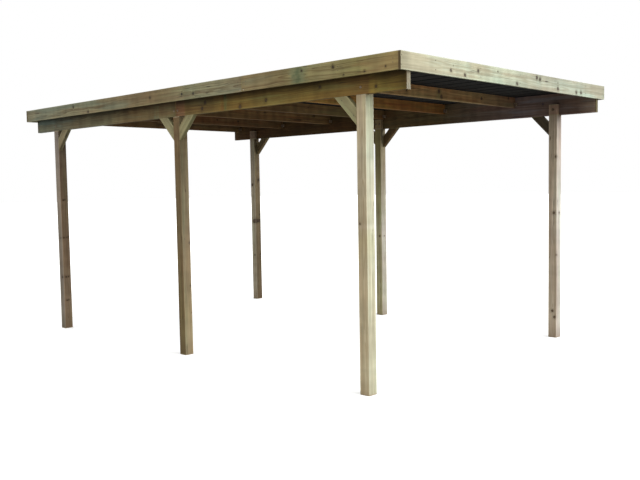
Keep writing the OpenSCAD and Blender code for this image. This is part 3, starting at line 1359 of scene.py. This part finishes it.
@dataclass(frozen=True)
class RoofSheets:
    """Ribbed steel sheets with lapped edges and their screws.

    Attributes:
        ribs: Raised ribs on a sheet.
        foot: Width of a rib at its foot.
        crown: Width of a rib at its crown.
        swage_foot: Half the width of the low swage between two ribs at its foot.
        swage_crown: Half its width at its crown.
        swage_tall: Its height.
        gauge: Thickness of the steel.
        lap: How far a sheet reaches over its left neighbour.
        gap: Gap between the plain sheets.
        screw_aside: Distance of a screw from the foot of its rib.
    """

    ribs: int = 5
    foot: float = 0.062
    crown: float = 0.028
    swage_foot: float = 0.014
    swage_crown: float = 0.008
    swage_tall: float = 0.0022
    gauge: float = 0.0008
    lap: float = 0.045
    gap: float = 0.002
    screw_aside: float = 0.018

    def rib_places(self, low: np.ndarray, high: np.ndarray) -> np.ndarray:
        """Places across of the middles of a sheet's ribs."""
        pitch = (high[0] - low[0] + self.gap) / self.ribs
        return low[0] - self.gap / 2 + (np.arange(self.ribs) + 0.5) * pitch

    def profile(self, low: np.ndarray, high: np.ndarray, lapped: bool) -> np.ndarray:
        """Upper line of a sheet's section: flats, stiffening swages and ribs.

        Args:
            low: Lowest corner of the sheet.
            high: Highest corner of the sheet.
            lapped: Whether the left edge reaches over a neighbour.

        Returns:
            Places across and heights, one row each.
        """
        tall = high[2] - low[2] - self.gauge
        line = [(low[0] - (self.lap if lapped else 0.0), self.gauge if lapped else 0.0)]
        if lapped:
            line += [(low[0], self.gauge), (low[0] + 0.004, 0.0)]
        middles = self.rib_places(low, high)
        half_pitch = (middles[1] - middles[0]) / 2
        for middle in middles:
            line += [
                (middle - self.foot / 2, 0.0), (middle - self.crown / 2, tall),
                (middle + self.crown / 2, tall), (middle + self.foot / 2, 0.0),
            ]
            if middle < middles[-1]:
                between = middle + half_pitch
                line += [
                    (between - self.swage_foot, 0.0), (between - self.swage_crown, self.swage_tall),
                    (between + self.swage_crown, self.swage_tall), (between + self.swage_foot, 0.0),
                ]
        line.append((high[0], 0.0))
        return np.array(line) + np.array([0.0, low[2] + self.gauge])

    def sheet(self, low: np.ndarray, high: np.ndarray, lapped: bool) -> Patch:
        """A sheet: its section, out along the top and back underneath, carried from front to rear.

        Args:
            low: Lowest corner.
            high: Highest corner.
            lapped: Whether the left edge reaches over a neighbour.

        Returns:
            The closed patch.
        """
        upper = self.profile(low, high, lapped)
        loop = np.concatenate([upper, (upper - np.array([0.0, self.gauge]))[::-1]])
        stations = np.linspace(low[1], high[1], 24)
        count, rows = len(loop), len(stations)
        points = np.empty((rows, count, 3))
        points[..., 0] = loop[:, 0]
        points[..., 1] = stations[:, None]
        points[..., 2] = loop[:, 1]
        step = np.arange(count // 2 - 1)
        ends = np.stack([step, step + 1, count - 2 - step, count - 1 - step], axis=1)
        sides = grid_quads(rows, count, wrap=True)
        quads = np.concatenate([sides, ends[:, ::-1], ends + (rows - 1) * count])
        return Patch(points.reshape(-1, 3), quads)

    @staticmethod
    def screw() -> Patch:
        """A roof screw: a washer with a small head standing on it.

        Returns:
            The screw, standing on the zero height.
        """
        head = [(ON_AXIS, 0.0068), (0.0042, 0.0068), (0.0046, 0.0062), (0.0046, 0.0024)]
        washer = [(0.0085, 0.002), (0.0085, 0.0), (ON_AXIS, 0.0)]
        return turned(head + washer, 10)

    def build(self, finishes: Finishes) -> None:
        """Builds the three sheets and the screws that hold them.

        Args:
            finishes: The carport's finishes.
        """
        screw, screws = self.screw(), []
        rows = ["front_rail", *nodes_named("rafter_")]
        lines = [sum(corner[1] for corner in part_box(row)) / 2 for row in rows]
        for name in ("left", "middle", "right"):
            node = f"roof_sheet_{name}"
            low, high = corners(node)
            patch = self.sheet(low, high, name != "left")
            set_up(patch, f"sheet_{name}", finishes.sheet, "roof_sheet", node)
            for x in self.rib_places(low, high) + self.foot / 2 + self.screw_aside:
                screws += [screw.placed((x, y, low[2] + self.gauge), (0, 0, 1)) for y in lines]
        set_up(Patch.joined(screws), "sheet_screws", finishes.zinc, "zinc_bolts")


@dataclass(frozen=True)
class CoachBolts:
    """Coach bolts through beam and post top.

    Attributes:
        nodes: Bolt nodes of the six posts.
        head: Radius of the domed head.
        hole: Radius of the hole in washer and nut.
        washer: Radius of the washer.
        washer_thick: Thickness of the washer.
        nut: Distance of the nut's corners from its middle.
        nut_tall: Height of the nut.
        shank: Radius of the thread.
        thread_pitch: Height of half a turn of the thread.
    """

    nodes: tuple[str, ...]
    head: float = 0.012
    hole: float = 0.0052
    washer: float = 0.015
    washer_thick: float = 0.0025
    nut: float = 0.0093
    nut_tall: float = 0.008
    shank: float = 0.005
    thread_pitch: float = 0.0008

    def bolt(self, tall: float, grip: float) -> list[Patch]:
        """Domed head, washer, nut and thread end, about the bolt's own axis.

        Args:
            tall: Height of the head.
            grip: Distance from under the head to the washer.

        Returns:
            The bolt's patches, the head pointing along +Z.
        """
        angle = np.linspace(0.0, math.pi / 2, 7)
        dome = [(max(ON_AXIS, self.head * math.sin(w)), tall * math.cos(w)) for w in angle]
        head = turned(dome + [(self.head, -0.0005), (ON_AXIS, -0.0005)], 28)
        base = -grip - self.washer_thick
        rim = self.washer - 0.0005
        washer = turned(
            [(self.hole, -grip), (rim, -grip), (self.washer, -grip - 0.0006),
             (self.washer, base + 0.0006), (rim, base), (self.hole, base)], 28,
        )
        low = base - self.nut_tall
        nut = turned(
            [(self.hole, base), (0.0086, base), (self.nut, base - 0.0012), (self.nut, low + 0.0014),
             (0.0084, low), (self.hole, low)], 6,
        )
        tail = [
            (self.shank * (1.0 if turn % 2 else 0.86), base - 0.007 - self.thread_pitch * turn)
            for turn in range(7)
        ]
        thread = turned(tail + [(ON_AXIS, base - 0.0128)], 14)
        return [head, washer, nut, thread]

    def build(self, finishes: Finishes) -> None:
        """Builds the bolts of each post in place of its bolt node.

        Args:
            finishes: The carport's finishes.
        """
        for node in self.nodes:
            low, high = corners(node)
            side = Side.of(low)
            face = side.outer(*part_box(f"beam_{side.word}_front"))
            tall = abs(side.outer(low, high) - face)
            post_low, post_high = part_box(node.replace("bolts", "post"))
            z = (low[2] + high[2]) / 2
            spread = (high[1] - low[1]) / 2 - self.washer
            middle = (low[1] + high[1]) / 2
            places = [middle - spread, middle + spread] if spread > 0.001 else [middle]
            parts = [
                part.placed((face, y, z), (side.value, 0, 0))
                for y in places for part in self.bolt(tall, post_high[0] - post_low[0])
            ]
            set_up(Patch.joined(parts), node + "_zinc", finishes.zinc, "zinc_bolts", node)


@dataclass(frozen=True)
class SmallFixings:
    """Angle brackets at the rafter ends, and the screws of braces and boards.

    Attributes:
        leg: Length of a bracket's leg.
        tall: Height of a bracket.
        plate: Thickness of its steel.
        heel: Outer radius of its corner.
        up: Height of a bracket's middle above the underside of its rafter.
        out: Share of its leg at which its screws stand.
        head_tall: Height of a screw head above a bracket.
        small_head: Radius of the screw heads in brackets and boards.
        joint_head: Radius of those at the joints of the side boards.
        brace_head: Radius of those in the braces.
        board_gap: Usual distance between the screws of a side board.
        side_inset: Distance of its first and last screws from its ends.
        end_inset: Distance of an end board's outermost screws from its ends.
        end_reach: Distance of its other outer screws from its middle.
        joint_spot: Distance of a joint's screws from the joint, and from the lower edge.
        brace_spots: Distance of each screw from a brace's post, and from its foot.
    """

    leg: float = 0.03
    tall: float = 0.04
    plate: float = 0.002
    heel: float = 0.004
    up: float = 0.035
    out: float = 0.62
    head_tall: float = 0.0008
    small_head: float = 0.004
    joint_head: float = 0.0055
    brace_head: float = 0.0045
    board_gap: float = 0.6
    side_inset: float = 0.05
    end_inset: float = 0.011
    end_reach: float = 1.25
    joint_spot: tuple[float, float] = (0.022, 0.014)
    brace_spots: tuple[tuple[float, float], ...] = ((0.03, 0.075), (0.15, 0.2))

    def bracket(self, corner: Sequence[float], side: Side) -> Patch:
        """An angle bracket in the corner of a rafter's front face and a beam's inner face.

        Its section is an L with a rounded heel, carried up the height.

        Args:
            corner: The corner's place at mid height of the bracket.
            side: Which beam it is on.

        Returns:
            The closed bracket.
        """
        turn = np.linspace(0.0, math.pi / 2, 5)
        round_heel = np.stack([np.sin(turn), np.cos(turn)], axis=1)
        outer_arc = self.heel - self.heel * round_heel
        inner_arc = self.heel - (self.heel - self.plate) * round_heel[::-1]
        loop = np.concatenate([
            [[self.leg, 0.0]], outer_arc, [[0.0, self.leg], [self.plate, self.leg]],
            inner_arc, [[self.leg, self.plate]],
        ])
        levels = np.array([-0.5, -0.46, 0.46, 0.5]) * self.tall
        draw = np.array([0.94, 1.0, 1.0, 0.94])
        middle = np.array([self.plate / 2, self.plate / 2])
        flat = middle + (loop - middle) * draw[:, None, None]
        count = len(loop)
        points = np.empty((len(levels), count, 3))
        points[..., 0] = corner[0] - side.value * flat[..., 0]
        points[..., 1] = corner[1] - flat[..., 1]
        points[..., 2] = corner[2] + levels[:, None]
        step = np.arange(count // 2 - 1)
        cap = np.stack([step, step + 1, count - 2 - step, count - 1 - step], axis=1)
        sides = grid_quads(len(levels), count, wrap=True)
        quads = np.concatenate([sides, cap[:, ::-1], cap + (len(levels) - 1) * count])
        return Patch(points.reshape(-1, 3), quads[:, ::-1] if side is Side.RIGHT else quads)

    @staticmethod
    def screw(radius: float) -> Patch:
        """A low countersunk head with a recess in its middle.

        Args:
            radius: Radius of the head.

        Returns:
            The head, its top at the zero height.
        """
        recess = [(ON_AXIS, -0.0016), (radius * 0.3, -0.0016), (radius * 0.5, -0.0001)]
        cone = [(radius * 0.88, 0.0), (radius, -0.0004), (radius * 0.6, -0.004), (ON_AXIS, -0.004)]
        return turned(recess + cone, 12)

    def build(self, finishes: Finishes) -> None:
        """Builds the brackets with their screws, then the screws of boards, joints and braces.

        Args:
            finishes: The carport's finishes.
        """
        places = self.bracket_places()
        brackets = [self.bracket(corner, side) for corner, side in places]
        for patches, name, finish in (
            (brackets, "rafter_brackets", finishes.bracket_zinc),
            (self.bracket_screws(places), "bracket_screws", finishes.bright_zinc),
            (self.board_screws(), "board_screws", finishes.dull_zinc),
            (self.joint_screws(), "joint_screws", finishes.bright_zinc),
            (self.brace_screws(), "brace_screws", finishes.dull_zinc),
        ):
            set_up(Patch.joined(patches), name, finish, "zinc_bolts")

    def bracket_places(self) -> list[tuple[tuple[float, float, float], Side]]:
        """Where a bracket goes at each end of every rafter.

        Returns:
            The corner's place and the side, one pair a bracket.
        """
        made = []
        for node in nodes_named("rafter_"):
            low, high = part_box(node)
            made += [((side.outer(low, high), low[1], low[2] + self.up), side) for side in Side]
        return made

    def bracket_screws(self, places: Iterable[tuple[tuple[float, float, float], Side]]) -> list[Patch]:
        """Two screws in each leg of every bracket.

        Args:
            places: Corner and side of each bracket.

        Returns:
            The screws.
        """
        screw = self.screw(self.small_head)
        out, proud = self.leg * self.out, self.plate + self.head_tall
        made = []
        for (x, y, z), side in places:
            inward = -side.value
            for dz in (-0.01, 0.01):
                made.append(screw.placed((x + inward * out, y - proud, z + dz), (0, -1, 0)))
                made.append(screw.placed((x + inward * proud, y - out, z + dz), (inward, 0, 0)))
        return made

    def board_screws(self) -> list[Patch]:
        """Pairs of screws along each side board and across the end boards.

        Returns:
            The screws.
        """
        screw = self.screw(self.small_head)
        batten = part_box("edge_batten_left")
        z = (batten[0][2] + batten[1][2]) / 2
        made = []
        for side in Side:
            for part in ("front", "rear"):
                low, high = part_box(f"fascia_{side.word}_{part}")
                x = side.outer(low, high)
                count = round((high[1] - low[1]) / self.board_gap) + 1
                last = min(high[1], batten[1][1]) - self.side_inset
                for y in np.linspace(low[1] + self.side_inset, last, count):
                    made += [screw.placed((x, y, z + dz), (side.value, 0, 0)) for dz in (-0.014, 0.014)]
        for node, facing in (("fascia_front", -1), ("fascia_rear", 1)):
            low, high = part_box(node)
            y = low[1] if facing < 0 else high[1]
            middle = (low[2] + high[2]) / 2
            corner = (high[0] - low[0]) / 2 - self.end_inset
            inner = np.linspace(-self.end_reach, self.end_reach, 5)
            for x in np.concatenate([[-corner], inner, [corner]]):
                made += [screw.placed((x, y, middle + dz), (0, facing, 0)) for dz in (-0.035, 0.035)]
        return made

    def joint_screws(self) -> list[Patch]:
        """A bright screw low down on each side of the side boards' joints.

        Returns:
            The screws.
        """
        screw = self.screw(self.joint_head)
        aside, above = self.joint_spot
        made = []
        for side in Side:
            low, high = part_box(f"fascia_{side.word}_front")
            x, z = side.outer(low, high), low[2] + above
            made += [screw.placed((x, high[1] + dy, z), (side.value, 0, 0)) for dy in (-aside, aside)]
        return made

    def brace_screws(self) -> list[Patch]:
        """A screw near each end of every brace, on its outer and inner faces.

        Returns:
            The screws.
        """
        screw = self.screw(self.brace_head)
        made = []
        for name in nodes_named("brace_"):
            low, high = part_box(name)
            way = 1.0 if KneeBraces.runs_back(name) else -1.0
            foot = low[1] if way > 0 else high[1]
            for face, facing in ((low[0], -1), (high[0], 1)):
                for out, up in self.brace_spots:
                    made.append(screw.placed((face, foot + way * out, low[2] + up), (facing, 0, 0)))
        return made


# --------------------------------------------------------------------------- studio


@dataclass(frozen=True)
class Studio:
    """Floor, light and camera.

    Attributes:
        eye: Place of the camera.
        heading: Compass turn of the view from +X towards +Y, in degrees.
        tilt: Tilt of the view above the level, in degrees.
        roll: Turn of the camera about its view, in degrees.
        lens: Focal length, in millimetres.
        sensor: Width of the sensor.
        low_light: Brightness of the surroundings at the level of the ground.
        high_light: Their brightness overhead.
    """

    eye: tuple[float, float, float] = (-6.229, -6.401, 1.654)
    heading: float = 43.816
    tilt: float = -3.962
    roll: float = -0.964
    lens: float = 44.64
    sensor: float = 36.0
    low_light: float = 0.62
    high_light: float = 1.25

    def build(self) -> None:
        """Sets up the floor, the surroundings, the two broad lights and the camera."""
        bpy.context.scene.view_settings.view_transform = "Standard"
        self.floor()
        self.surroundings()
        self.sun("front_light", (0.3, -1.0, 0.55), strength=3.1, spread=42.0, colour=(0.95, 1.0, 1.02))
        self.sun("left_light", (-1.0, -0.12, 0.1), strength=0.7, spread=50.0, colour=(1.0, 0.97, 0.93))
        self.camera()

    def floor(self) -> None:
        """Lays a wide level floor a hair below the feet."""
        span, steps, drop = 90.0, 10, 0.0005
        axis = np.linspace(-span, span, steps)
        x, y = np.meshgrid(axis, axis, indexing="xy")
        points = np.stack([x, y, np.full_like(x, -drop)], axis=-1).reshape(-1, 3)
        mesh = bpy.data.meshes.new("studio_floor")
        mesh.from_pydata(points.tolist(), [], grid_quads(steps, steps, wrap=False).tolist())
        finish = StudioFloor(seen=(0.88, 0.88, 0.875), thrown=(0.27, 0.265, 0.25), glow=0.32)
        mesh.materials.append(finish.material())
        thing = bpy.data.objects.new("studio_floor", mesh)
        bpy.context.scene.collection.objects.link(thing)

    def surroundings(self) -> None:
        """White surroundings, brighter overhead as a light, and plain white to the camera."""
        world = bpy.data.worlds.new("studio")
        world.use_nodes = True
        tree = world.node_tree
        back = tree.nodes["Background"]
        back.inputs["Color"].default_value = (1.0, 1.0, 1.0, 1.0)
        high = tree.nodes.new("ShaderNodeSeparateXYZ")
        tree.links.new(tree.nodes.new("ShaderNodeTexCoord").outputs["Generated"], high.inputs[0])
        rise = tree.nodes.new("ShaderNodeMapRange")
        rise.interpolation_type = "SMOOTHSTEP"
        for key, value in {"From Max": 0.9, "To Min": self.low_light, "To Max": self.high_light}.items():
            rise.inputs[key].default_value = value
        tree.links.new(high.outputs[2], rise.inputs["Value"])
        shown = tree.nodes.new("ShaderNodeMix")
        shown.inputs[3].default_value = 1.0
        tree.links.new(tree.nodes.new("ShaderNodeLightPath").outputs["Is Camera Ray"], shown.inputs[0])
        tree.links.new(rise.outputs["Result"], shown.inputs[2])
        tree.links.new(shown.outputs[0], back.inputs["Strength"])
        bpy.context.scene.world = world

    @staticmethod
    def sun(name: str, source: Sequence[float], strength: float, spread: float, colour: Colour) -> None:
        """A broad distant light.

        Args:
            name: Name of the light.
            source: Direction it comes from.
            strength: Its strength.
            spread: Its apparent width in degrees.
            colour: Its colour.
        """
        lamp = bpy.data.lights.new(name, "SUN")
        lamp.energy = strength
        lamp.angle = math.radians(spread)
        lamp.color = colour
        thing = bpy.data.objects.new(name, lamp)
        thing.rotation_euler = Vector(source).to_track_quat("Z", "Y").to_euler()
        bpy.context.scene.collection.objects.link(thing)

    def camera(self) -> None:
        """Stands the camera at the front left corner, at eye height."""
        turn, tilt, roll = (math.radians(value) for value in (self.heading, self.tilt, self.roll))
        view = Vector((math.cos(turn) * math.cos(tilt), math.sin(turn) * math.cos(tilt), math.sin(tilt)))
        level = Vector((math.sin(turn), -math.cos(turn), 0.0))
        upward = level.cross(view)
        right = level * math.cos(roll) + upward * math.sin(roll)
        top = upward * math.cos(roll) - level * math.sin(roll)
        optics = bpy.data.cameras.new("camera")
        optics.sensor_width = self.sensor
        optics.lens = self.lens
        optics.clip_end = 300.0
        thing = bpy.data.objects.new("camera", optics)
        turned_to = Matrix((right, top, -view)).transposed().to_4x4()
        thing.matrix_world = Matrix.Translation(Vector(self.eye)) @ turned_to
        bpy.context.scene.collection.objects.link(thing)
        bpy.context.scene.camera = thing


# ---------------------------------------------------------------------------- looks

# Distances run from the low end of each timber: its foot, its front end or its left end.

# front sets each post's front face lighter or darker than its other faces, partly as painted light and
# shade; tones and washes also paint light and shade, such as darker tops under the beams.
POST_LOOKS: dict[str, Look] = {
    "post_front_left": Look(
        (1.11, 1.1, 1.05), knot_gap=CLEAR, front=(0.98, 1.12, 1.25),
        whorls=(Whorl(1.345, (150.0,), 0.006), Whorl(1.3, (285.0,), 0.004)),
        washes=(
            (0.1, (1.15, 1.22, 1.22)), (0.4, (1.05, 1.07, 1.05)), (1.0, (0.97, 0.97, 0.95)),
            (1.22, (0.95, 0.96, 0.88)), (1.3, (1.0, 1.0, 0.97)), (1.325, (1.1, 1.1, 1.16)),
            (1.36, (0.97, 0.96, 0.95)), (1.42, (0.98, 0.98, 0.98)), (1.9, (0.98, 1.0, 1.04)),
            (2.2, (0.93, 0.9, 0.88)),
        ),
    ),
    "post_middle_left": Look(
        (0.41, 0.33, 0.226), knot_gap=CLEAR, front=(1.83, 2.11, 2.64),
        whorls=(
            Whorl(1.109, (307.0,), 0.009), Whorl(0.684, (307.0,), 0.009), Whorl(0.415, (306.0,), 0.006),
        ),
        grade=((-1.0, 1.0), (-0.93, 0.75), (0.0, 1.0), (1.0, 1.2)),
        washes=(
            (0.1, (1.05, 1.1, 1.1)), (0.4, (0.9, 0.88, 0.83)), (1.2, (1.02, 1.03, 1.08)),
            (1.6, (0.98, 1.0, 1.02)), (2.1, (0.97, 0.95, 0.94)),
        ),
    ),
    "post_rear_left": Look(
        (0.54, 0.53, 0.6), knot_gap=CLEAR, front=(0.9, 0.755, 0.59),
        whorls=(
            Whorl(1.528, (235.0, 262.0), 0.008), Whorl(1.077, (185.0, 225.0, 262.0, 300.0), 0.007),
            Whorl(0.611, (190.0, 235.0, 275.0), 0.009), Whorl(0.335, (235.0, 262.0), 0.008),
        ),
        washes=(
            (0.1, (1.1, 1.1, 1.12)), (0.3, (0.95, 0.95, 0.95)), (1.2, (1.0, 1.0, 1.0)),
            (1.6, (1.12, 1.1, 1.1)), (2.0, (1.0, 1.03, 1.1)),
        ),
    ),
    "post_front_right": Look(
        (1.12, 1.13, 1.24), knot_gap=CLEAR, front=(0.96, 1.0, 1.16),
        whorls=(
            Whorl(1.906, (205.0,), 0.01), Whorl(1.32, (185.0, 262.0), 0.011),
            Whorl(0.877, (212.0,), 0.006), Whorl(0.281, (172.0,), 0.011), Whorl(0.216, (195.0,), 0.011),
        ),
        washes=(
            (0.1, (1.16, 1.16, 1.16)), (0.4, (0.96, 0.95, 0.93)), (0.87, (1.0, 1.0, 1.0)),
            (1.3, (1.04, 1.04, 1.06)), (1.62, (1.13, 1.13, 1.12)), (2.0, (1.06, 1.04, 1.02)),
            (2.2, (0.98, 0.94, 0.93)),
        ),
    ),
    "post_middle_right": Look(
        (1.0, 1.1, 0.92), knot_gap=CLEAR, front=(0.86, 0.83, 1.15),
        whorls=(Whorl(1.327, (285.0,), 0.006), Whorl(1.0, (185.0, 258.0), 0.009)),
        washes=(
            (0.1, (1.2, 1.2, 1.2)), (0.3, (1.0, 0.98, 0.97)), (0.55, (1.04, 1.02, 1.04)),
            (0.8, (1.12, 1.1, 1.15)), (1.06, (1.24, 1.2, 1.32)), (1.31, (1.05, 1.03, 1.0)),
            (2.1, (0.73, 0.66, 0.5)),
        ),
    ),
    "post_rear_right": Look(
        (0.76, 0.79, 0.84), knot_gap=CLEAR, front=(0.336, 0.275, 0.2),
        whorls=(
            Whorl(1.742, (278.0, 300.0), 0.016), Whorl(1.671, (158.0,), 0.015),
            Whorl(1.232, (300.0,), 0.013), Whorl(1.14, (180.0, 210.0, 245.0, 280.0), 0.022),
            Whorl(0.645, (180.0, 285.0), 0.01),
        ),
        washes=(
            (0.1, (1.15, 1.15, 1.15)), (0.3, (0.97, 0.95, 0.93)), (0.7, (1.08, 1.06, 1.04)),
            (1.2, (1.25, 1.25, 1.25)), (1.6, (1.3, 1.3, 1.3)), (2.1, (1.15, 1.1, 1.1)),
        ),
    ),
}

# On the beams the grade is painted shadow under the fascia, darkest just under it; tones and washes mix the
# wood's colour with painted light and shade.
BEAM_LOOKS: dict[str, Look] = {
    "beam_left_front": Look(
        (0.82, 0.86, 0.77), knot_gap=1.2, ends=(0.8, 0.82, 0.98),
        face_knots=(
            (0.29, -0.066, 0.009), (1.514, -0.064, 0.012), (1.856, -0.093, 0.014),
            (2.351, -0.012, 0.013), (2.397, -0.067, 0.012),
        ),
        stains=(Stain(2.06, 0.02, 1.0), Stain(2.1, 0.02, -0.6)),
        grade=((-1.0, 1.3), (-0.5, 1.12), (-0.1, 0.85), (0.2, 0.5)),
        washes=(
            (0.0, (0.62, 0.62, 0.46)), (0.1, (0.78, 0.76, 0.6)), (0.26, (0.95, 1.05, 0.9)),
            (0.29, (0.95, 1.0, 0.9)), (0.315, (1.25, 1.3, 1.1)), (0.345, (1.22, 1.25, 1.05)),
            (0.37, (0.9, 0.8, 0.85)), (0.9, (0.98, 1.0, 0.93)), (2.0, (1.1, 1.1, 1.06)),
            (2.4, (0.76, 0.76, 0.95)), (2.65, (0.78, 0.76, 0.92)), (2.68, (0.92, 0.72, 1.2)),
            (2.8, (0.92, 0.72, 1.25)),
        ),
    ),
    "beam_left_rear": Look(
        (0.66, 0.86, 1.5), knot_gap=1.2,
        stains=(Stain(0.35, 0.02, 0.6), Stain(0.3, 0.015, 0.6), Stain(2.5, 0.4, 0.5)),
        grade=((-1.0, 1.25), (-0.5, 1.1), (-0.1, 0.88), (0.2, 0.6)),
        washes=(
            (0.0, (0.98, 1.0, 0.9)), (0.2, (1.05, 1.05, 1.0)), (0.72, (0.93, 0.74, 0.6)),
            (1.3, (0.91, 1.04, 1.16)), (1.94, (0.81, 0.82, 0.94)), (2.65, (0.95, 1.18, 1.62)),
        ),
    ),
    "beam_right_front": Look(
        (0.68, 0.72, 1.9), knot_gap=0.9, ends=(0.33, 0.31, 0.24),
        washes=(
            (0.0, (1.9, 2.15, 2.2)), (0.2, (1.2, 1.12, 1.1)), (0.9, (1.45, 1.55, 1.9)),
            (1.4, (1.15, 1.3, 1.35)), (1.9, (0.9, 0.9, 0.5)),
        ),
    ),
    "beam_right_rear": Look((0.44, 0.37, 0.4), knot_gap=1.2),
}

# The right braces are darkened as painted shade, since their inner faces are seen in the shadow of the roof.
BRACE_LOOKS: dict[str, Look] = {
    "brace_front_left": Look((0.85, 0.86, 0.85), knot_gap=CLEAR),
    "brace_front_right": Look((0.29, 0.25, 0.29), knot_gap=CLEAR),
    "brace_middle_left_aft": Look((0.85, 0.86, 0.88), knot_gap=CLEAR),
    "brace_middle_left_fore": Look((0.8, 0.8, 0.78), knot_gap=CLEAR),
    "brace_middle_right_aft": Look((0.38, 0.27, 0.2), knot_gap=CLEAR),
    "brace_middle_right_fore": Look((0.4, 0.28, 0.21), knot_gap=CLEAR),
    "brace_rear_left": Look((0.66, 0.66, 0.7), knot_gap=CLEAR),
    "brace_rear_right": Look((0.5, 0.42, 0.38), knot_gap=CLEAR),
}

RAFTER_LOOKS: dict[str, Look] = {
    "front_rail": Look(),
    "rafter_1": Look(
        (1.27, 1.28, 1.22), knot_gap=1.5,
        face_knots=((1.65, 0.02, 0.017), (1.69, -0.03, 0.015), (2.4, 0.0, 0.012)),
        stains=(Stain(1.65, 0.04, 0.6),),
        washes=(
            (1.0, (1.1, 1.05, 1.05)), (1.6, (1.2, 1.15, 1.2)), (2.2, (1.05, 1.08, 1.15)),
            (2.6, (0.93, 0.93, 1.12)), (3.0, (0.8, 0.72, 1.0)),
        ),
    ),
    "rafter_2": Look(
        (1.35, 1.05, 0.7), knot_gap=1.2,
        washes=((1.2, (1.38, 1.42, 1.3)), (1.8, (1.1, 1.1, 1.0)), (2.2, (0.85, 0.75, 0.7))),
    ),
    "rafter_3": Look((0.85, 0.8, 0.75), knot_gap=1.2),
    "rafter_4": Look((0.85, 0.78, 0.72)),
    "rafter_5": Look((0.7, 0.65, 0.62)),
    "rafter_6": Look((0.7, 0.62, 0.6)),
}

BOARD_LOOKS: dict[str, Look] = {
    "fascia_front": Look(
        knot_gap=CLEAR,
        face_knots=(
            (0.627, -0.022, 0.011), (0.82, -0.04, 0.012), (1.01, 0.009, 0.012), (1.31, 0.03, 0.006),
            (1.62, -0.043, 0.012), (1.965, 0.036, 0.013), (2.02, 0.026, 0.013), (2.36, -0.029, 0.014),
            (2.36, 0.02, 0.006), (2.73, -0.039, 0.012), (2.83, -0.035, 0.013), (0.66, 0.02, 0.004),
        ),
        stains=(
            Stain(0.12, 0.3, -0.6), Stain(0.85, 0.03, 0.3), Stain(2.0, 0.05, 0.35),
            Stain(2.42, 0.03, 0.25), Stain(2.8, 0.07, 0.3), Stain(3.22, 0.14, -0.8),
            Stain(1.3, 0.1, 0.3),
        ),
        washes=(
            (0.0, (0.86, 0.86, 0.84)), (0.12, (1.0, 1.0, 1.0)), (0.6, (1.07, 1.08, 1.1)),
            (1.0, (0.98, 0.99, 0.99)), (1.7, (0.99, 1.0, 1.03)), (2.0, (0.88, 0.86, 0.9)),
            (2.35, (0.96, 0.97, 1.04)), (2.72, (1.08, 1.08, 1.15)), (3.25, (0.88, 0.9, 0.96)),
        ),
    ),
    "fascia_rear": Look((0.87, 0.8, 0.68)),
    "fascia_left_front": Look(
        (0.93, 0.93, 0.9), knot_gap=CLEAR,
        face_knots=(
            (0.638, 0.02, 0.01), (0.117, -0.032, 0.007), (0.32, -0.045, 0.007), (0.53, -0.05, 0.006),
            (0.98, 0.03, 0.008),
        ),
        stains=(Stain(1.03, 0.08, 1.0), Stain(0.25, 0.4, -0.3)),
        washes=(
            (0.0, (1.1, 1.15, 1.05)), (0.2, (1.0, 1.02, 0.95)), (0.4, (0.85, 0.88, 0.74)),
            (0.7, (1.0, 1.0, 1.0)), (0.9, (0.97, 0.97, 0.92)), (1.02, (0.93, 0.95, 0.9)),
            (1.16, (0.9, 0.87, 0.85)), (1.4, (0.88, 0.8, 0.84)), (1.7, (1.0, 0.92, 1.0)),
        ),
    ),
    "fascia_left_rear": Look(
        (0.8, 0.85, 1.0), knot_gap=1.6,
        face_knots=((0.862, -0.012, 0.012), (2.555, -0.05, 0.011), (1.38, 0.0, 0.01)),
        stains=(
            Stain(0.3, 0.2, 0.3), Stain(1.9, 0.25, 0.4), Stain(3.6, 0.5, 0.6), Stain(1.2, 0.35, -0.6),
        ),
        washes=(
            (0.0, (1.05, 1.0, 1.05)), (0.7, (1.02, 1.1, 1.15)), (1.2, (1.0, 1.02, 0.9)),
            (1.7, (1.05, 0.9, 0.85)), (2.5, (1.0, 0.98, 1.0)), (3.9, (1.0, 1.02, 1.15)),
        ),
    ),
    "fascia_right_front": Look(),
    "fascia_right_rear": Look((0.95, 0.95, 1.0)),
}


# ----------------------------------------------------------------------------- main


@dataclass
class Carport:
    """The whole carport, from its sub-assemblies.

    Attributes:
        posts: The six posts.
        beams: The side beams.
        braces: The knee braces.
        rafters: The rafters and the front rail.
        battens: The edge battens.
        boards: The fascia boards.
        sheets: The roof sheets and their screws.
        bolts: The coach bolts.
        fixings: The brackets and the other screws.
    """

    posts: Posts
    beams: SideBeams
    braces: KneeBraces
    rafters: Rafters
    battens: EdgeBattens
    boards: FasciaBoards
    sheets: RoofSheets
    bolts: CoachBolts
    fixings: SmallFixings

    @staticmethod
    def designed() -> "Carport":
        """The carport with each timber's own look.

        Returns:
            The carport, ready to be built.
        """
        return Carport(
            posts=Posts(POST_LOOKS), beams=SideBeams(BEAM_LOOKS), braces=KneeBraces(BRACE_LOOKS),
            rafters=Rafters(RAFTER_LOOKS), battens=EdgeBattens(), boards=FasciaBoards(BOARD_LOOKS),
            sheets=RoofSheets(), bolts=CoachBolts(tuple(nodes_named("bolts_"))), fixings=SmallFixings(),
        )

    def build(self, finishes: Finishes) -> None:
        """Builds every sub-assembly in order.

        Args:
            finishes: The carport's finishes.
        """
        for part in (self.posts, self.beams, self.braces, self.rafters, self.battens, self.boards,
                     self.sheets, self.bolts, self.fixings):
            LOG.info("building %s", type(part).__name__)
            part.build(finishes)


def main() -> None:
    """Builds the carport and its studio."""
    logging.basicConfig(level=logging.INFO, format="%(name)s: %(message)s")
    Carport.designed().build(Finishes.mixed())
    Studio().build()


if __name__ == "__main__":
    main()
